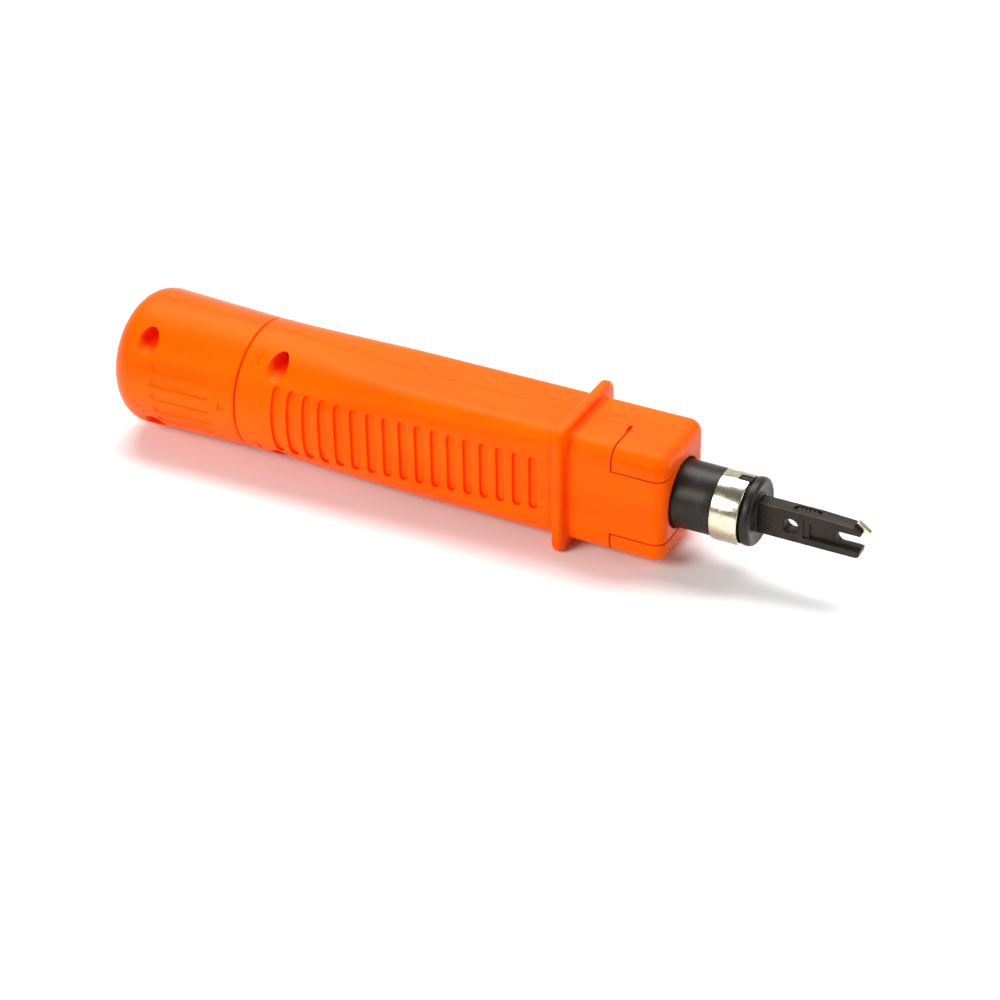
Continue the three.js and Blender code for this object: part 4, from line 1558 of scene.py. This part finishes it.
@dataclass
class Studio:
    """A pale floor, soft lights and the camera.

    Attributes:
        place: the tool's frame.
        azimuth: how far the camera stands to the right of the tool's left side, in degrees.
        elevation: how far it looks down, in degrees.
        roll: how far it leans, in degrees.
        distance_mm: how far it stands from the tool's origin.
        lens_mm: its focal length on a 36 mm sensor.
        aim_side_mm: how far it is shifted sideways in its own frame.
        aim_rise_mm: how far it is shifted upwards in its own frame.
        guard_low: x and z of the guard's lower edge, which stands on the floor.
        dial_low: x and z of the dial's lowest line, which stands on the floor.
        middle_x: the tool's middle, which the lights are aimed at.
        room_level: strength of the pale room as a light.
    """

    place: ToolFrame
    azimuth: float = 27.816
    elevation: float = 33.141
    roll: float = -0.768
    distance_mm: float = 563.8
    lens_mm: float = 95.03
    aim_side_mm: float = -18.80
    aim_rise_mm: float = -7.08
    guard_low: Point = (-2.5, -15.2)
    dial_low: Point = (-107.5, -15.8)
    middle_x: float = -25.0
    room_level: float = 0.16

    def camera(self) -> None:
        """Sets the camera up on its direction from the tool."""
        a, e, r = (math.radians(v) for v in (self.azimuth, self.elevation, self.roll))
        back = Vector((math.sin(a) * math.cos(e), -math.cos(a) * math.cos(e), math.sin(e)))
        right = Vector((math.cos(a), math.sin(a), 0))
        up = back.cross(right)
        side = right * math.cos(r) + up * math.sin(r)
        rise = up * math.cos(r) - right * math.sin(r)
        eye = back * self.distance_mm + side * self.aim_side_mm + rise * self.aim_rise_mm
        data = bpy.data.cameras.new("studio_camera")
        data.lens = self.lens_mm
        data.sensor_width = 36.0
        data.clip_start = 0.01
        turn = Matrix((side, rise, back)).transposed().to_4x4()
        matrix = Matrix.Translation(self.place.point(*eye)) @ turn
        bpy.context.scene.camera = scene_object("studio_camera", data, matrix)

    def floor(self) -> None:
        """Lays the floor under the guard's edge and the dial, which carry the tool."""
        front = self.place.point(self.guard_low[0], 0, self.guard_low[1])
        rear = self.place.point(self.dial_low[0], 0, self.dial_low[1])
        bm = bmesh.new()
        bmesh.ops.create_grid(bm, x_segments=1, y_segments=1, size=3)
        tilt = -math.atan2(front.z - rear.z, front.x - rear.x)
        matrix = Matrix.Translation(rear) @ Matrix.Rotation(tilt, 4, "Y")
        obj = mesh_object("floor", bm, matrix)
        obj.data.materials.append(StudioPaper().material)
        obj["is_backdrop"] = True

    def light(self, name: str, offset: Vector, size: Point, power: float, colour: str) -> None:
        """An area light at an offset from the tool's middle, aimed at it."""
        data = bpy.data.lights.new(name, "AREA")
        data.shape = "RECTANGLE"
        data.size, data.size_y = size
        data.energy = power
        data.color = linear(colour)[:3]
        aim = self.place.point(self.middle_x, 0, 0)
        turn = offset.to_track_quat("Z", "Y").to_matrix().to_4x4()
        scene_object(name, data, Matrix.Translation(aim + offset) @ turn)

    def lights(self) -> None:
        """A box over the back, a pale wall behind, a box over the viewer's shoulder and a fill."""
        self.light("roof_box", Vector((-0.08, 0.43, 0.98)), (1.3, 0.55), 17.5, "#FFFFFF")
        self.light("back_wall", Vector((-0.3, 1.25, 0.45)), (2.6, 0.9), 4.0, "#FFFDF6")
        self.light("front_box", Vector((-0.43, -0.84, 0.57)), (0.5, 0.5), 8.0, "#FFFDF8")
        self.light("right_box", Vector((0.95, 0.1, 0.4)), (0.4, 0.5), 2.0, "#F4F8FF")

    def room(self) -> None:
        """The pale room all round: dim as a light, at full strength where the camera sees it."""
        world = bpy.data.worlds.new("pale_room")
        world.use_nodes = True
        tree = world.node_tree
        tree.nodes.clear()
        seen = add_node(tree, "ShaderNodeLightPath")
        level = add_node(tree, "ShaderNodeMapRange", {
            "Value": seen.outputs["Is Camera Ray"], "To Min": self.room_level, "To Max": 1.0})
        shade = add_node(tree, "ShaderNodeBackground", {
            "Color": linear("#F2F4F8"), "Strength": level.outputs["Result"]})
        add_node(tree, "ShaderNodeOutputWorld", {"Surface": shade.outputs["Background"]})
        bpy.context.scene.world = world

    def build(self) -> None:
        """Sets up the whole studio with plain colour management."""
        self.camera()
        self.floor()
        self.lights()
        self.room()
        view = bpy.context.scene.view_settings
        view.view_transform = "Standard"
        view.look = "None"


def main() -> None:
    """Builds the tool piece by piece, then the studio."""
    logging.basicConfig(level=logging.INFO, format="%(name)s: %(message)s")
    finishes = Finishes()
    place = ToolFrame.from_model(Handle.nose_x)
    for kind in (Handle, Dial, Plunger, Springs, Blade):
        kind(place, finishes).build()
    Studio(place).build()
    boxes = {"cad": CAD_BOX, "visual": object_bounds()}
    plain = {name: [[float(v) for v in corner] for corner in corners]
             for name, corners in boxes.items()}


if __name__ == "__main__":
    main()
